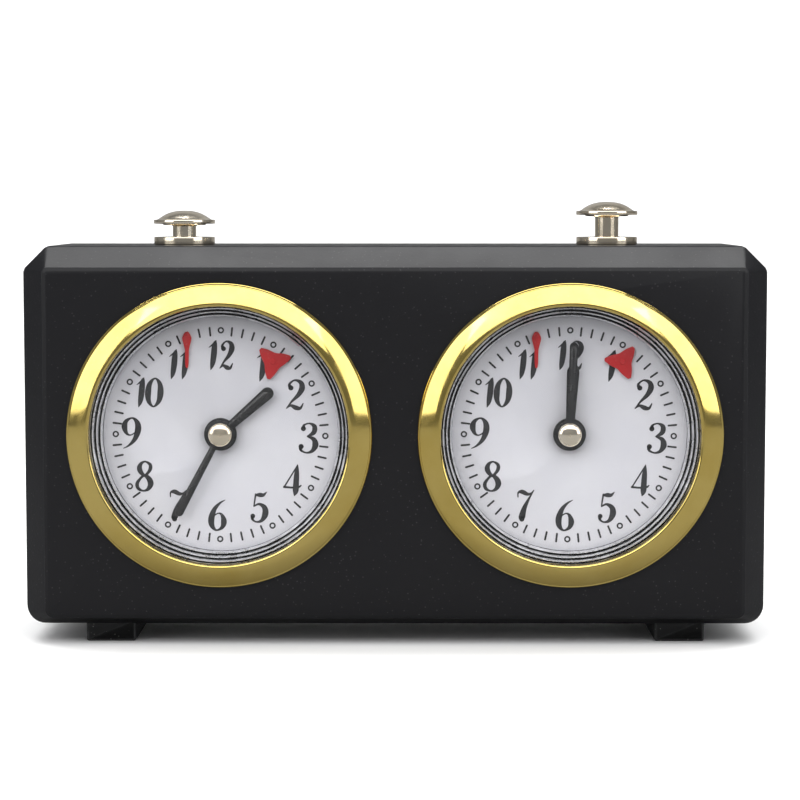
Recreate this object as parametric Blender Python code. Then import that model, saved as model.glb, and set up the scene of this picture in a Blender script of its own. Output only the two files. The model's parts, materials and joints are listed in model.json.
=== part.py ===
"""Wind-up chess clock: two clockwork movements in one case, stopped in turn by a rocker under two buttons.

The clock's own frame is in metres, +Z up, its dials facing -Y, with its origin at the bottom centre of its
bounding box. Every size below is in millimetres. A "depth" is a distance behind the plane of the case's front
face, and an angle on a dial is in degrees, clockwise from twelve as the player sees it.
"""

import math

import bmesh
import bpy

MM = 0.001

# ---------------------------------------------------------------- driving dimensions
CASE_WIDTH = 156.0
CASE_HEIGHT = 79.8
CASE_DEPTH = 43.0
FRONT_SHELL_DEPTH = 33.0
WALL = 2.2
SIDE_BEVEL = 5.0
TOP_BEVEL = 4.7
BOTTOM_BEVEL = 2.1
BEVEL_DEPTH = 5.6
TOP_CHAMFER = 4.9
BOTTOM_RADIUS = 4.0
FACE_CORNER_RADIUS = 1.6
REAR_EDGE_BEVEL = 1.6
SHELL_GAP = 0.3
PIECE_GAP = 0.3
RUNNING_GAP = 0.3

FOOT_HEIGHT = 4.0
FOOT_WIDTH = 10.5
FOOT_INSET = 12.45
FOOT_START = 6.5
FOOT_LENGTH = 32.0
FOOT_SEAT = 1.0

DIAL_SPACING = 73.2
DIAL_HEIGHT = 44.4
DIAL_MARGIN = 0.2
DIAL_THICKNESS = 0.6
DIAL_FRONT = 4.9
BEZEL_OPENING = 27.0
BEZEL_WIDTH = 4.8
BEZEL_PROUD = 2.6
BEZEL_SKIRT_WALL = 0.95
CRYSTAL_THICKNESS = 1.2
CRYSTAL_LIP = 0.5
REFLECTOR_WIDTH = 2.4
HOUR_HAND_LENGTH = 14.4
HOUR_HAND_HUB = 3.45
HOUR_HAND_ROOT = 1.9
HOUR_HAND_TIP = 2.6
MINUTE_HAND_LENGTH = 19.4
MINUTE_HAND_HUB = 3.0
MINUTE_HAND_ROOT = 1.35
MINUTE_HAND_TIP = 1.8
HAND_THICKNESS = 0.4
HOUR_HAND_FRONT = 3.4
MINUTE_HAND_FRONT = 2.6
CAP_RADIUS = 2.5
CAP_HEIGHT = 1.3
ROTOR_INSET = 5.8
ROTOR_ANGLE = 36.0
ROTOR_RADIUS = 3.8
ROTOR_FRONT = 4.2
FLAG_LENGTH = 7.0
FLAG_INSET = 2.6
FLAG_ANGLE = -18.5
FLAG_FRONT = 4.2
FLAG_THICKNESS = 0.3

BUTTON_SPACING = 91.2
BUTTON_DEPTH = 22.5
BUTTON_TRAVEL = 1.9
BUTTON_RADIUS = 6.6
BUTTON_DOME = 1.95
BUTTON_RIM = 0.75
BUTTON_LIFT = 5.6
STEM_RADIUS = 2.55
COLLAR_RADIUS = 6.55
COLLAR_HEIGHT = 1.7
COLLAR_TUBE_WALL = 0.9
ROCKER_DROP = 4.6
ROCKER_THICKNESS = 2.2
ROCKER_DEPTH = 8.0
ROCKER_OVERHANG = 3.0
ROCKER_HUB_RADIUS = 2.7
PIVOT_RADIUS = 1.2
LUG_THICKNESS = 1.8

PLATE_LEFT = -27.5
PLATE_RIGHT = 25.5
PLATE_BOTTOM = -34.0
PLATE_TOP = 28.0
PLATE_THICKNESS = 1.0
FRONT_PLATE = 11.0
BACK_PLATE = 30.0
PILLAR_RADIUS = 1.75
PILLAR_INSET = 3.5
POST_RADIUS = 2.4
ARBOR_RADIUS = 0.8
PIVOT_HOLE = 0.72
PIVOT_TIP = 0.42

CENTRE_TEETH = 42
CENTRE_MODULE = 0.56
THIRD_LEAVES = 6
THIRD_TEETH = 36
THIRD_MODULE = 0.55
ESCAPE_LEAVES = 6
GREAT_TEETH = 40
GREAT_MODULE = 0.76
CENTRE_LEAVES = 8
GREAT_ANGLE = 212.0
CANNON_LEAVES = 8
MOTION_TEETH = 24
MOTION_LEAVES = 6
HOUR_TEETH = 24
MOTION_MODULE = 0.56
MOTION_ANGLE = 250.0
WHEEL_THICKNESS = 0.9
ESCAPE_TEETH = 15
ESCAPE_RADIUS = 6.0
PALLET_DISTANCE = 7.7
BALANCE_X = -7.0
BALANCE_Z = 18.0
BALANCE_RADIUS = 8.0
BALANCE_RIM = 1.3
SETTING_ARBOR_RADIUS = 1.1
HOUR_PIPE_WALL = 0.7
STUD_RADIUS = 0.45
WINDING_ARBOR_RADIUS = 1.5
DRUM_RADIUS = 13.2
DRUM_WALL = 0.9

KEY_PROUD = 7.4
KEY_SPAN = 17.0
KEY_THICKNESS = 2.0
KEY_HUB_RADIUS = 2.8
KNOB_RADIUS = 4.4
KNOB_LENGTH = 5.6
KNOB_FLUTES = 12
BACK_CLEARANCE = 0.6

SCREW_INSET_X = 9.0
SCREW_INSET_Z = 8.2
SCREW_RADIUS = 1.15
SCREW_HEAD_RADIUS = 2.7
SCREW_HEAD_HEIGHT = 1.8
SCREW_SINK = 2.6
SCREW_GRIP = 10.0
BOSS_RADIUS = 3.7
SCREW_SLOT_WIDTH = 0.8
SCREW_SLOT_DEPTH = 0.9

LEFT_MINUTE_ANGLE = 208.0
LEFT_HOUR_ANGLE = 49.0
RIGHT_MINUTE_ANGLE = 2.5
RIGHT_HOUR_ANGLE = 3.0
LEFT_ROTOR_ANGLE = 75.0
RIGHT_ROTOR_ANGLE = 37.0

RING_SIDES = 32
ARBOR_SIDES = 8

# ---------------------------------------------------------------- places worked out from them
FRONT_Y = BEZEL_PROUD - (BEZEL_PROUD + CASE_DEPTH + KEY_PROUD) / 2
CASE_BOTTOM = FOOT_HEIGHT
CASE_TOP = CASE_BOTTOM + CASE_HEIGHT
HALF_WIDTH = CASE_WIDTH / 2
BEZEL_RADIUS = BEZEL_OPENING + BEZEL_WIDTH
BEZEL_BORE = BEZEL_OPENING + CRYSTAL_LIP
BEZEL_SKIRT = BEZEL_BORE + BEZEL_SKIRT_WALL
DIAL_HOLE = BEZEL_SKIRT + RUNNING_GAP
DIAL_RADIUS = BEZEL_OPENING + DIAL_MARGIN
REFLECTOR_OPENING = BEZEL_OPENING - REFLECTOR_WIDTH
ROTOR_DISTANCE = REFLECTOR_OPENING - ROTOR_INSET
FLAG_DISTANCE = REFLECTOR_OPENING - FLAG_INSET
CRYSTAL_FRONT = -CRYSTAL_THICKNESS + PIECE_GAP
CRYSTAL_BACK = CRYSTAL_FRONT + CRYSTAL_THICKNESS
DIAL_BACK = DIAL_FRONT + DIAL_THICKNESS
PLATE_GAP_FRONT = FRONT_PLATE + PLATE_THICKNESS
BACK_PLATE_REAR = BACK_PLATE + PLATE_THICKNESS
HOUR_PIPE_BORE = SETTING_ARBOR_RADIUS + RUNNING_GAP
HOUR_PIPE_RADIUS = HOUR_PIPE_BORE + HOUR_PIPE_WALL

CENTRE_RADIUS = CENTRE_TEETH * CENTRE_MODULE / 2
THIRD_DISTANCE = (CENTRE_TEETH + THIRD_LEAVES) * CENTRE_MODULE / 2
ESCAPE_DISTANCE = (THIRD_TEETH + ESCAPE_LEAVES) * THIRD_MODULE / 2
GREAT_DISTANCE = (GREAT_TEETH + CENTRE_LEAVES) * GREAT_MODULE / 2
MOTION_DISTANCE = (CANNON_LEAVES + MOTION_TEETH) * MOTION_MODULE / 2
HOUR_MODULE = 2 * MOTION_DISTANCE / (MOTION_LEAVES + HOUR_TEETH)

CENTRE_WHEEL_AT = PLATE_GAP_FRONT + 0.9
THIRD_WHEEL_AT = PLATE_GAP_FRONT + 4.6
ESCAPE_WHEEL_AT = PLATE_GAP_FRONT + 8.0
PALLET_AT = ESCAPE_WHEEL_AT + 0.1
BALANCE_AT = PLATE_GAP_FRONT + 11.0
HAIRSPRING_AT = BALANCE_AT + 2.2
DRUM_AT = CENTRE_WHEEL_AT + WHEEL_THICKNESS + 0.8
GREAT_WHEEL_AT = BACK_PLATE - 3.6
GREAT_WHEEL_THICKNESS = 1.4
HOUR_WHEEL_AT = DIAL_BACK + 1.4
MOTION_WHEEL_AT = HOUR_WHEEL_AT + 1.3

ROCKER_Z = CASE_TOP - WALL - ROCKER_DROP
ROCKER_ARM = BUTTON_SPACING / 2
ROCKER_TILT = math.degrees(math.asin(BUTTON_TRAVEL / 2 / ROCKER_ARM))
COLLAR_BORE = STEM_RADIUS + RUNNING_GAP
COLLAR_TUBE = COLLAR_BORE + COLLAR_TUBE_WALL
COLLAR_HOLE = COLLAR_TUBE + RUNNING_GAP
SCREW_X = HALF_WIDTH - SCREW_INSET_X
SCREW_ZS = (CASE_BOTTOM + SCREW_INSET_Z, CASE_TOP - SCREW_INSET_Z)
FOOT_X = HALF_WIDTH - FOOT_INSET - FOOT_WIDTH / 2
REAR_SIDE = FRONT_SHELL_DEPTH + SHELL_GAP


def polar(distance, angle):
    """The (x, z) of a point at this distance and dial angle."""
    turn = math.radians(angle)
    return distance * math.sin(turn), distance * math.cos(turn)


def dial_angle(start, end):
    """The dial angle of the line from one (x, z) point to another."""
    return math.degrees(math.atan2(end[0] - start[0], end[1] - start[1]))


def meeting_point(first, first_distance, second, second_distance):
    """The point at those distances from two points, on the clockwise side of the line between them."""
    span = math.dist(first, second)
    along = (first_distance**2 - second_distance**2 + span**2) / (2 * span)
    spread = math.degrees(math.acos(along / first_distance))
    x, z = polar(first_distance, dial_angle(first, second) + spread)
    return first[0] + x, first[1] + z


CENTRE = (0.0, 0.0)
ESCAPE = polar(ROTOR_DISTANCE, ROTOR_ANGLE)
THIRD = meeting_point(CENTRE, THIRD_DISTANCE, ESCAPE, ESCAPE_DISTANCE)
GREAT = polar(GREAT_DISTANCE, GREAT_ANGLE)
MOTION = polar(MOTION_DISTANCE, MOTION_ANGLE)
BALANCE = (BALANCE_X, BALANCE_Z)
FLAG = polar(FLAG_DISTANCE, FLAG_ANGLE)
PALLET_TURN = dial_angle(ESCAPE, BALANCE)
PALLET = tuple(e + p for e, p in zip(ESCAPE, polar(PALLET_DISTANCE, PALLET_TURN)))
PILLARS = [
    (x, z)
    for x in (PLATE_LEFT + PILLAR_INSET, PLATE_RIGHT - PILLAR_INSET)
    for z in (PLATE_BOTTOM + PILLAR_INSET, PLATE_TOP - PILLAR_INSET)
]


# ---------------------------------------------------------------- mesh helpers
def solid(name, points, faces):
    """A mesh object from points in millimetres, with every face turned outwards."""
    mesh = bpy.data.meshes.new(name)
    mesh.from_pydata([tuple(c * MM for c in point) for point in points], [], faces)
    shape = bmesh.new()
    shape.from_mesh(mesh)
    bmesh.ops.remove_doubles(shape, verts=shape.verts, dist=0.0005 * MM)
    bmesh.ops.recalc_face_normals(shape, faces=shape.faces)
    shape.to_mesh(mesh)
    shape.free()
    obj = bpy.data.objects.new(name, mesh)
    bpy.context.scene.collection.objects.link(obj)
    return obj


def lofted(name, sections):
    """A closed solid through sections of as many points each: a list of (depth, [(x, z), ...])."""
    count = len(sections[0][1])
    points = [(x, depth, z) for depth, outline in sections for x, z in outline]
    faces = [tuple(range(count)), tuple(range(len(points) - count, len(points)))]
    for layer in range(len(sections) - 1):
        for k in range(count):
            a, b = layer * count + k, layer * count + (k + 1) % count
            faces.append((a, b, b + count, a + count))
    return solid(name, points, faces)


def prism(name, outline, start, end):
    """An outline in the dial's plane, from one depth to another."""
    return lofted(name, [(start, outline), (end, outline)])


def turned(name, profile, sides, upright=False):
    """A profile of (radius, place) points turned about the depth axis, or about the vertical one.

    A profile that begins and ends at radius 0 makes a solid body, and any other is a closed ring.
    """
    on_axis = profile[0][0] == 0
    points, rings = [], []
    for radius, place in profile:
        if radius == 0:
            rings.append([len(points)] * sides)
            points.append((0, 0, place) if upright else (0, place, 0))
            continue
        rings.append(list(range(len(points), len(points) + sides)))
        for k in range(sides):
            x, z = polar(radius, 360 * k / sides)
            points.append((x, z, place) if upright else (x, place, z))
    last = len(rings) - 1 if on_axis else len(rings)
    faces = []
    for n in range(last):
        first, second = rings[n], rings[(n + 1) % len(rings)]
        for k in range(sides):
            j = (k + 1) % sides
            corners = [first[k], first[j], second[j], second[k]]
            faces.append(tuple(dict.fromkeys(corners)))
    return solid(name, points, [face for face in faces if len(face) > 2])


def rod(radius, start, end, x=0.0, z=0.0, sides=ARBOR_SIDES):
    """A plain round bar along the depth axis."""
    outline = [(x + px, z + pz) for px, pz in circle(radius, sides)]
    return prism("rod", outline, start, end)


def block(x0, x1, depth0, depth1, z0, z1):
    return prism("block", [(x0, z0), (x1, z0), (x1, z1), (x0, z1)], depth0, depth1)


def circle(radius, sides):
    return [polar(radius, 360 * k / sides) for k in range(sides)]


def combine(target, tools, operation):
    """Joins each tool to the target or cuts it away, and keeps only the finished mesh."""
    for tool in tools:
        modifier = target.modifiers.new(operation.lower(), "BOOLEAN")
        modifier.operation = operation
        modifier.object = tool
        graph = bpy.context.evaluated_depsgraph_get()
        finished = bpy.data.meshes.new_from_object(target.evaluated_get(graph))
        target.modifiers.clear()
        target.data = finished
        bpy.data.objects.remove(tool)
    return target


def fuse(target, *tools):
    return combine(target, tools, "UNION")


def carve(target, *tools):
    return combine(target, tools, "DIFFERENCE")


# ---------------------------------------------------------------- outlines
def wheel_outline(teeth, module, towards):
    """A wheel's outline with one tooth centred on the dial angle of the pinion that it drives."""
    pitch = 360 / teeth
    radius = teeth * module / 2
    root, tip = radius - 0.8 * module, radius + 0.55 * module
    outline = []
    for k in range(teeth):
        middle = towards + k * pitch
        corners = ((root, -0.3), (tip, -0.09), (tip, 0.09), (root, 0.3))
        outline += [polar(r, middle + share * pitch) for r, share in corners]
    return outline


def pinion_outline(leaves, module, towards):
    """A pinion's outline with a gap centred on the dial angle of the wheel that it meets."""
    radius = leaves * module / 2
    root, tip, half = radius - 0.95 * module, radius + 0.35 * module, 0.55 * module
    profile = ((root, -half), (tip, -half / 2), (tip, half / 2), (root, half))
    outline = []
    for k in range(leaves):
        middle = towards + (k + 0.5) * 360 / leaves
        for along, across in profile:
            outline.append(polar(math.hypot(along, across), middle + math.degrees(math.atan2(across, along))))
    return outline


def hand_outline(hub, length, root_width, tip_width):
    """A baton hand that points to twelve, with a round hub and a round tip."""
    half = root_width / 2
    start = math.degrees(math.asin(half / hub))
    outline = [polar(hub, start + (360 - 2 * start) * k / 14) for k in range(15)]
    tip = length - tip_width / 2
    for k in range(5):
        x, z = polar(tip_width / 2, -90 + 45 * k)
        outline.append((x, tip + z))
    return outline


def spiral_outline(inner, outer, turns, thickness, steps):
    """A flat coil of strip, from its inner end to its outer one and back."""
    def edge(offset):
        for k in range(steps + 1):
            share = k / steps
            yield polar(inner + (outer - inner) * share + offset, 360 * turns * share)
    return list(edge(0)) + list(edge(thickness))[::-1]


def case_outline(side, top, bottom, chamfer, radius):
    """The case's outline: both top corners cut at 45 degrees, both bottom corners round."""
    half, high, low = HALF_WIDTH - side, CASE_TOP - top, CASE_BOTTOM + bottom
    right = [(half - chamfer, high), (half, high - chamfer)]
    for k in range(4):
        x, z = polar(radius, 90 + 30 * k)
        right.append((half - radius + x, low + radius + z))
    return right + [(-x, z) for x, z in reversed(right)]


# ---------------------------------------------------------------- case
def front_shell():
    face = case_outline(SIDE_BEVEL, TOP_BEVEL, BOTTOM_BEVEL, 0, FACE_CORNER_RADIUS)
    full = case_outline(0, 0, 0, TOP_CHAMFER, BOTTOM_RADIUS)
    shell = lofted("front_case", [(0, face), (BEVEL_DEPTH, full), (FRONT_SHELL_DEPTH, full)])
    step = WALL * (math.sqrt(2) - 1)
    inner_face = case_outline(SIDE_BEVEL + step, TOP_BEVEL + step, BOTTOM_BEVEL + WALL, 0, FACE_CORNER_RADIUS)
    inner = case_outline(WALL, WALL, WALL, TOP_CHAMFER - step, BOTTOM_RADIUS - WALL / 2)
    past = FRONT_SHELL_DEPTH + WALL
    carve(shell, lofted("hollow", [(WALL, inner_face), (BEVEL_DEPTH + step, inner), (past, inner)]))
    inside = WALL / 2
    for x in (-SCREW_X, SCREW_X):
        fuse(shell, *[rod(BOSS_RADIUS, inside, FRONT_SHELL_DEPTH, x, z) for z in SCREW_ZS])
    for side in (-1, 1):
        dial_x = side * DIAL_SPACING / 2
        posts = [(dial_x + x, DIAL_HEIGHT + z) for x, z in PILLARS]
        fuse(shell, *[rod(POST_RADIUS, inside, FRONT_PLATE - PIECE_GAP, x, z) for x, z in posts])
        carve(shell, rod(DIAL_HOLE, -WALL, 2 * WALL, dial_x, DIAL_HEIGHT, RING_SIDES))
        profile = [(0, -2 * WALL), (COLLAR_HOLE, -2 * WALL), (COLLAR_HOLE, WALL), (0, WALL)]
        hole = turned("hole", profile, 16, True)
        hole.location = [side * BUTTON_SPACING / 2 * MM, BUTTON_DEPTH * MM, CASE_TOP * MM]
        carve(shell, hole)
        lug_face = BUTTON_DEPTH + side * (ROCKER_DEPTH / 2 + RUNNING_GAP)
        lug_back = lug_face + side * LUG_THICKNESS
        lug_half = ROCKER_HUB_RADIUS + 0.4
        low, high = ROCKER_Z - lug_half, CASE_TOP - WALL / 2
        fuse(shell, block(-lug_half, lug_half, min(lug_face, lug_back), max(lug_face, lug_back), low, high))
    reach = ROCKER_DEPTH / 2 + LUG_THICKNESS + WALL
    pin_hole = PIVOT_RADIUS + RUNNING_GAP
    carve(shell, rod(pin_hole, BUTTON_DEPTH - reach, BUTTON_DEPTH + reach, 0, ROCKER_Z))
    pilot = SCREW_RADIUS + RUNNING_GAP
    start = FRONT_SHELL_DEPTH - SCREW_GRIP - 1
    holes = [rod(pilot, start, past, x, z) for x in (-SCREW_X, SCREW_X) for z in SCREW_ZS]
    return carve(shell, *holes, *foot_seats())


def rear_shell():
    full = case_outline(0, 0, 0, TOP_CHAMFER, BOTTOM_RADIUS)
    edge = REAR_EDGE_BEVEL
    back = case_outline(edge, edge, edge, TOP_CHAMFER, BOTTOM_RADIUS - edge / 2)
    shell = lofted("rear_case", [(REAR_SIDE, full), (CASE_DEPTH - edge, full), (CASE_DEPTH, back)])
    inner = case_outline(WALL, WALL, WALL, TOP_CHAMFER - WALL * (math.sqrt(2) - 1), BOTTOM_RADIUS - WALL / 2)
    carve(shell, prism("hollow", inner, REAR_SIDE - WALL, CASE_DEPTH - WALL))
    spots = [(x, z) for x in (-SCREW_X, SCREW_X) for z in SCREW_ZS]
    fuse(shell, *[rod(BOSS_RADIUS, REAR_SIDE, CASE_DEPTH - WALL / 2, x, z) for x, z in spots])
    through = [rod(SCREW_RADIUS + RUNNING_GAP, REAR_SIDE - 1, CASE_DEPTH + 1, x, z) for x, z in spots]
    head = SCREW_HEAD_RADIUS + RUNNING_GAP
    sinks = [rod(head, CASE_DEPTH - SCREW_SINK, CASE_DEPTH + 1, x, z, 16) for x, z in spots]
    arbors = []
    for side in (-1, 1):
        for (x, z), radius in ((GREAT, WINDING_ARBOR_RADIUS), (CENTRE, SETTING_ARBOR_RADIUS)):
            place = (side * DIAL_SPACING / 2 + x, DIAL_HEIGHT + z)
            arbors.append(rod(radius + 2 * RUNNING_GAP, REAR_SIDE, CASE_DEPTH + 1, *place, 12))
    return carve(shell, *through, *sinks, *arbors, *foot_seats())


def foot_seats():
    """The shallow recesses that the two feet sit in."""
    grow = PIECE_GAP
    depths = (FOOT_START - grow, FOOT_START + FOOT_LENGTH + grow)
    high = CASE_BOTTOM + FOOT_SEAT
    return [
        block(x - FOOT_WIDTH / 2 - grow, x + FOOT_WIDTH / 2 + grow, *depths, -1, high)
        for x in (-FOOT_X, FOOT_X)
    ]


def foot():
    half, high = FOOT_WIDTH / 2, CASE_BOTTOM + FOOT_SEAT - PIECE_GAP
    return block(-half, half, FOOT_START, FOOT_START + FOOT_LENGTH, 0, high)


def case_screw():
    head = CASE_DEPTH - SCREW_SINK + PIECE_GAP
    top = head + SCREW_HEAD_HEIGHT
    profile = [(0, REAR_SIDE - SCREW_GRIP), (SCREW_RADIUS, REAR_SIDE - SCREW_GRIP + 1), (SCREW_RADIUS, head)]
    profile += [(SCREW_HEAD_RADIUS, head), (SCREW_HEAD_RADIUS, top - 0.5)]
    profile += [(SCREW_HEAD_RADIUS - 0.6, top), (0, top)]
    slot = SCREW_SLOT_WIDTH / 2
    past = SCREW_HEAD_RADIUS + 1
    driver_slot = block(-past, past, top - SCREW_SLOT_DEPTH, top + 1, -slot, slot)
    return carve(turned("case_screw", profile, 12), driver_slot)


# ---------------------------------------------------------------- buttons and rocker
def button():
    """A mushroom button on its stem. Its origin is on the case's top face, midway between up and pressed."""
    under = BUTTON_LIFT
    edge = under + BUTTON_RIM
    foot_z = ROCKER_Z + ROCKER_THICKNESS / 2 + PIECE_GAP + 0.1 - CASE_TOP
    profile = [(0, foot_z), (STEM_RADIUS - 0.4, foot_z), (STEM_RADIUS, foot_z + 0.4), (STEM_RADIUS, under)]
    profile += [(BUTTON_RADIUS - 0.3, under), (BUTTON_RADIUS, under + 0.25), (BUTTON_RADIUS, edge)]
    for share in (0.8, 0.55, 0.25):
        profile.append((BUTTON_RADIUS * share, edge + BUTTON_DOME * math.sqrt(1 - share**2)))
    profile.append((0, edge + BUTTON_DOME))
    return turned("button", profile, 16, True)


def collar():
    """The flanged guide that the button's stem runs in. Its origin is on the case's top face."""
    seat, top = PIECE_GAP, COLLAR_HEIGHT
    profile = [(COLLAR_BORE, -WALL), (COLLAR_TUBE, -WALL), (COLLAR_TUBE, seat), (COLLAR_RADIUS, seat)]
    profile += [(COLLAR_RADIUS, top - 0.2), (COLLAR_RADIUS - 0.2, top), (COLLAR_BORE, top)]
    return turned("button_collar", profile, 16, True)


def rocker():
    """The beam under both buttons, with the finger that stops each balance. Its origin is on its pivot."""
    end, half = ROCKER_ARM + ROCKER_OVERHANG, ROCKER_THICKNESS / 2
    front, back = BUTTON_DEPTH - ROCKER_DEPTH / 2, BUTTON_DEPTH + ROCKER_DEPTH / 2
    beam = block(-end, end, front, back, -half, half)
    fuse(beam, rod(ROCKER_HUB_RADIUS, front, back, sides=16))
    for side in (-1, 1):
        x = side * DIAL_SPACING / 2 + BALANCE_X
        dip = abs(x) * math.sin(math.radians(ROCKER_TILT))
        tip = DIAL_HEIGHT + BALANCE_Z + BALANCE_RADIUS + dip + PIECE_GAP + 0.1 - ROCKER_Z
        fuse(beam, block(x - 0.8, x + 0.8, BALANCE_AT - 0.2, BALANCE_AT + BALANCE_RIM + 0.2, tip, 0))
    hole = PIVOT_RADIUS + RUNNING_GAP
    return carve(beam, rod(hole, front - 1, back + 1))


def rocker_pin():
    reach = ROCKER_DEPTH / 2 + LUG_THICKNESS + 0.8
    return rod(PIVOT_RADIUS, BUTTON_DEPTH - reach, BUTTON_DEPTH + reach)


# ---------------------------------------------------------------- dial side
def bezel():
    crest, base = -BEZEL_PROUD, -PIECE_GAP
    width = BEZEL_RADIUS - BEZEL_OPENING
    profile = [(BEZEL_SKIRT, base), (BEZEL_RADIUS, base), (BEZEL_RADIUS, base - 0.5)]
    profile += [(BEZEL_RADIUS - 0.13 * width, crest + 0.95), (BEZEL_RADIUS - 0.35 * width, crest + 0.22)]
    profile += [(BEZEL_RADIUS - 0.6 * width, crest), (BEZEL_RADIUS - 0.85 * width, crest + 0.2)]
    profile += [(BEZEL_OPENING, crest + 0.5), (BEZEL_OPENING, CRYSTAL_FRONT - PIECE_GAP)]
    profile += [(BEZEL_BORE, CRYSTAL_FRONT - PIECE_GAP), (BEZEL_BORE, WALL + 0.8), (BEZEL_SKIRT, WALL + 0.8)]
    return turned("bezel", profile, RING_SIDES)


def crystal():
    rim = BEZEL_BORE - PIECE_GAP
    return prism("crystal", circle(rim, RING_SIDES), CRYSTAL_FRONT, CRYSTAL_BACK)


def reflector():
    rim, start, end = BEZEL_BORE - PIECE_GAP, CRYSTAL_BACK + PIECE_GAP, DIAL_FRONT - PIECE_GAP
    profile = [(rim - 0.5, start), (rim, start), (rim, end), (REFLECTOR_OPENING, end)]
    return turned("reflector_ring", profile, RING_SIDES)


def dial():
    """The painted dial with three feet, and holes for the hour pipe, the rotor's arbor and the flag's pin."""
    plate = rod(DIAL_RADIUS, DIAL_FRONT, DIAL_BACK, sides=RING_SIDES)
    for angle in (90, 200, 320):
        fuse(plate, rod(0.8, DIAL_FRONT + 0.2, FRONT_PLATE - PIECE_GAP, *polar(DIAL_RADIUS - 3.5, angle), 8))
    holes = ((CENTRE, HOUR_PIPE_RADIUS + RUNNING_GAP), (ESCAPE, PIVOT_HOLE), (FLAG, PIVOT_HOLE))
    return carve(plate, *[rod(radius, DIAL_FRONT - 1, DIAL_BACK + 1, *place) for place, radius in holes])


def hour_hand():
    outline = hand_outline(HOUR_HAND_HUB, HOUR_HAND_LENGTH, HOUR_HAND_ROOT, HOUR_HAND_TIP)
    plate = prism("hour_hand", outline, HOUR_HAND_FRONT, HOUR_HAND_FRONT + HAND_THICKNESS)
    return carve(plate, rod(HOUR_PIPE_RADIUS + PIECE_GAP, HOUR_HAND_FRONT - 1, HOUR_HAND_FRONT + 1))


def minute_hand():
    outline = hand_outline(MINUTE_HAND_HUB, MINUTE_HAND_LENGTH, MINUTE_HAND_ROOT, MINUTE_HAND_TIP)
    plate = prism("minute_hand", outline, MINUTE_HAND_FRONT, MINUTE_HAND_FRONT + HAND_THICKNESS)
    return carve(plate, rod(SETTING_ARBOR_RADIUS, MINUTE_HAND_FRONT - 1, MINUTE_HAND_FRONT + 1))


def hand_cap():
    base, crest = MINUTE_HAND_FRONT - PIECE_GAP, MINUTE_HAND_FRONT - PIECE_GAP - CAP_HEIGHT
    bore = SETTING_ARBOR_RADIUS
    profile = [(0, base - 0.6), (bore, base - 0.6), (bore, base)]
    profile += [(CAP_RADIUS, base), (CAP_RADIUS, base - 0.35)]
    profile += [(CAP_RADIUS * 0.85, base - 0.8), (CAP_RADIUS * 0.5, crest + 0.12), (0, crest)]
    return turned("hand_cap", profile, 14)


def flag():
    """The red flag on its pin. It hangs from its origin, and the minute hand lifts it before the hour."""
    outline = [(-0.35, 0.75), (0.35, 0.75), (0.95, -0.3), (0.7, -2.2), (0.3, -FLAG_LENGTH)]
    outline += [(-x, z) for x, z in reversed(outline)]
    plate = prism("flag", outline, FLAG_FRONT, FLAG_FRONT + FLAG_THICKNESS)
    return fuse(plate, rod(PIVOT_TIP, FLAG_FRONT + 0.1, DIAL_BACK + 0.5, sides=8))


def tick_rotor():
    """The red three-pointed star on the front of the escape arbor."""
    outline = []
    for k in range(3):
        point = 120 * k
        outline += [polar(ROTOR_RADIUS, point - 5), polar(ROTOR_RADIUS, point + 5)]
        outline += [polar(0.5 * ROTOR_RADIUS, point + 38), polar(0.44 * ROTOR_RADIUS, point + 60)]
        outline.append(polar(0.5 * ROTOR_RADIUS, point + 82))
    star = prism("tick_rotor", outline, ROTOR_FRONT, ROTOR_FRONT + 0.35)
    return carve(star, rod(PIVOT_HOLE, ROTOR_FRONT - 1, ROTOR_FRONT + 1, sides=8))


# ---------------------------------------------------------------- motion work
def setting_arbor():
    """The long arbor that carries the minute hand, the cannon pinion and, behind the rear cover, the knob."""
    tip, shoulder = MINUTE_HAND_FRONT - 0.5, MINUTE_HAND_FRONT + HAND_THICKNESS + PIECE_GAP
    knob = CASE_DEPTH + BACK_CLEARANCE
    radius, fine = SETTING_ARBOR_RADIUS, SETTING_ARBOR_RADIUS - PIECE_GAP
    profile = [(0, tip), (fine, tip), (fine, shoulder), (radius, shoulder), (radius, knob + 1), (0, knob + 1)]
    arbor = turned("setting_arbor", profile, ARBOR_SIDES)
    cannon = pinion_outline(CANNON_LEAVES, MOTION_MODULE, dial_angle(CENTRE, MOTION))
    fuse(arbor, prism("cannon", cannon, MOTION_WHEEL_AT - 0.1, FRONT_PLATE - PIECE_GAP))
    fluted = [
        polar(KNOB_RADIUS - (0.5 if k % 2 else 0), 180 * k / KNOB_FLUTES) for k in range(2 * KNOB_FLUTES)
    ]
    return fuse(arbor, prism("knob", fluted, knob, knob + KNOB_LENGTH))


def motion_wheel():
    toothed = wheel_outline(MOTION_TEETH, MOTION_MODULE, dial_angle(MOTION, CENTRE))
    wheel = prism("motion_wheel", toothed, MOTION_WHEEL_AT, MOTION_WHEEL_AT + 0.7)
    leaves = pinion_outline(MOTION_LEAVES, HOUR_MODULE, dial_angle(MOTION, CENTRE))
    fuse(wheel, prism("leaves", leaves, HOUR_WHEEL_AT - 0.3, MOTION_WHEEL_AT + 0.3))
    return carve(wheel, rod(STUD_RADIUS + RUNNING_GAP, DIAL_BACK, FRONT_PLATE))


def hour_wheel():
    toothed = wheel_outline(HOUR_TEETH, HOUR_MODULE, dial_angle(CENTRE, MOTION))
    wheel = prism("hour_wheel", toothed, HOUR_WHEEL_AT, HOUR_WHEEL_AT + 0.7)
    fuse(wheel, rod(HOUR_PIPE_RADIUS, HOUR_HAND_FRONT - 0.1, HOUR_WHEEL_AT + 0.8))
    return carve(wheel, rod(HOUR_PIPE_BORE, HOUR_HAND_FRONT - 1, FRONT_PLATE))


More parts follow.
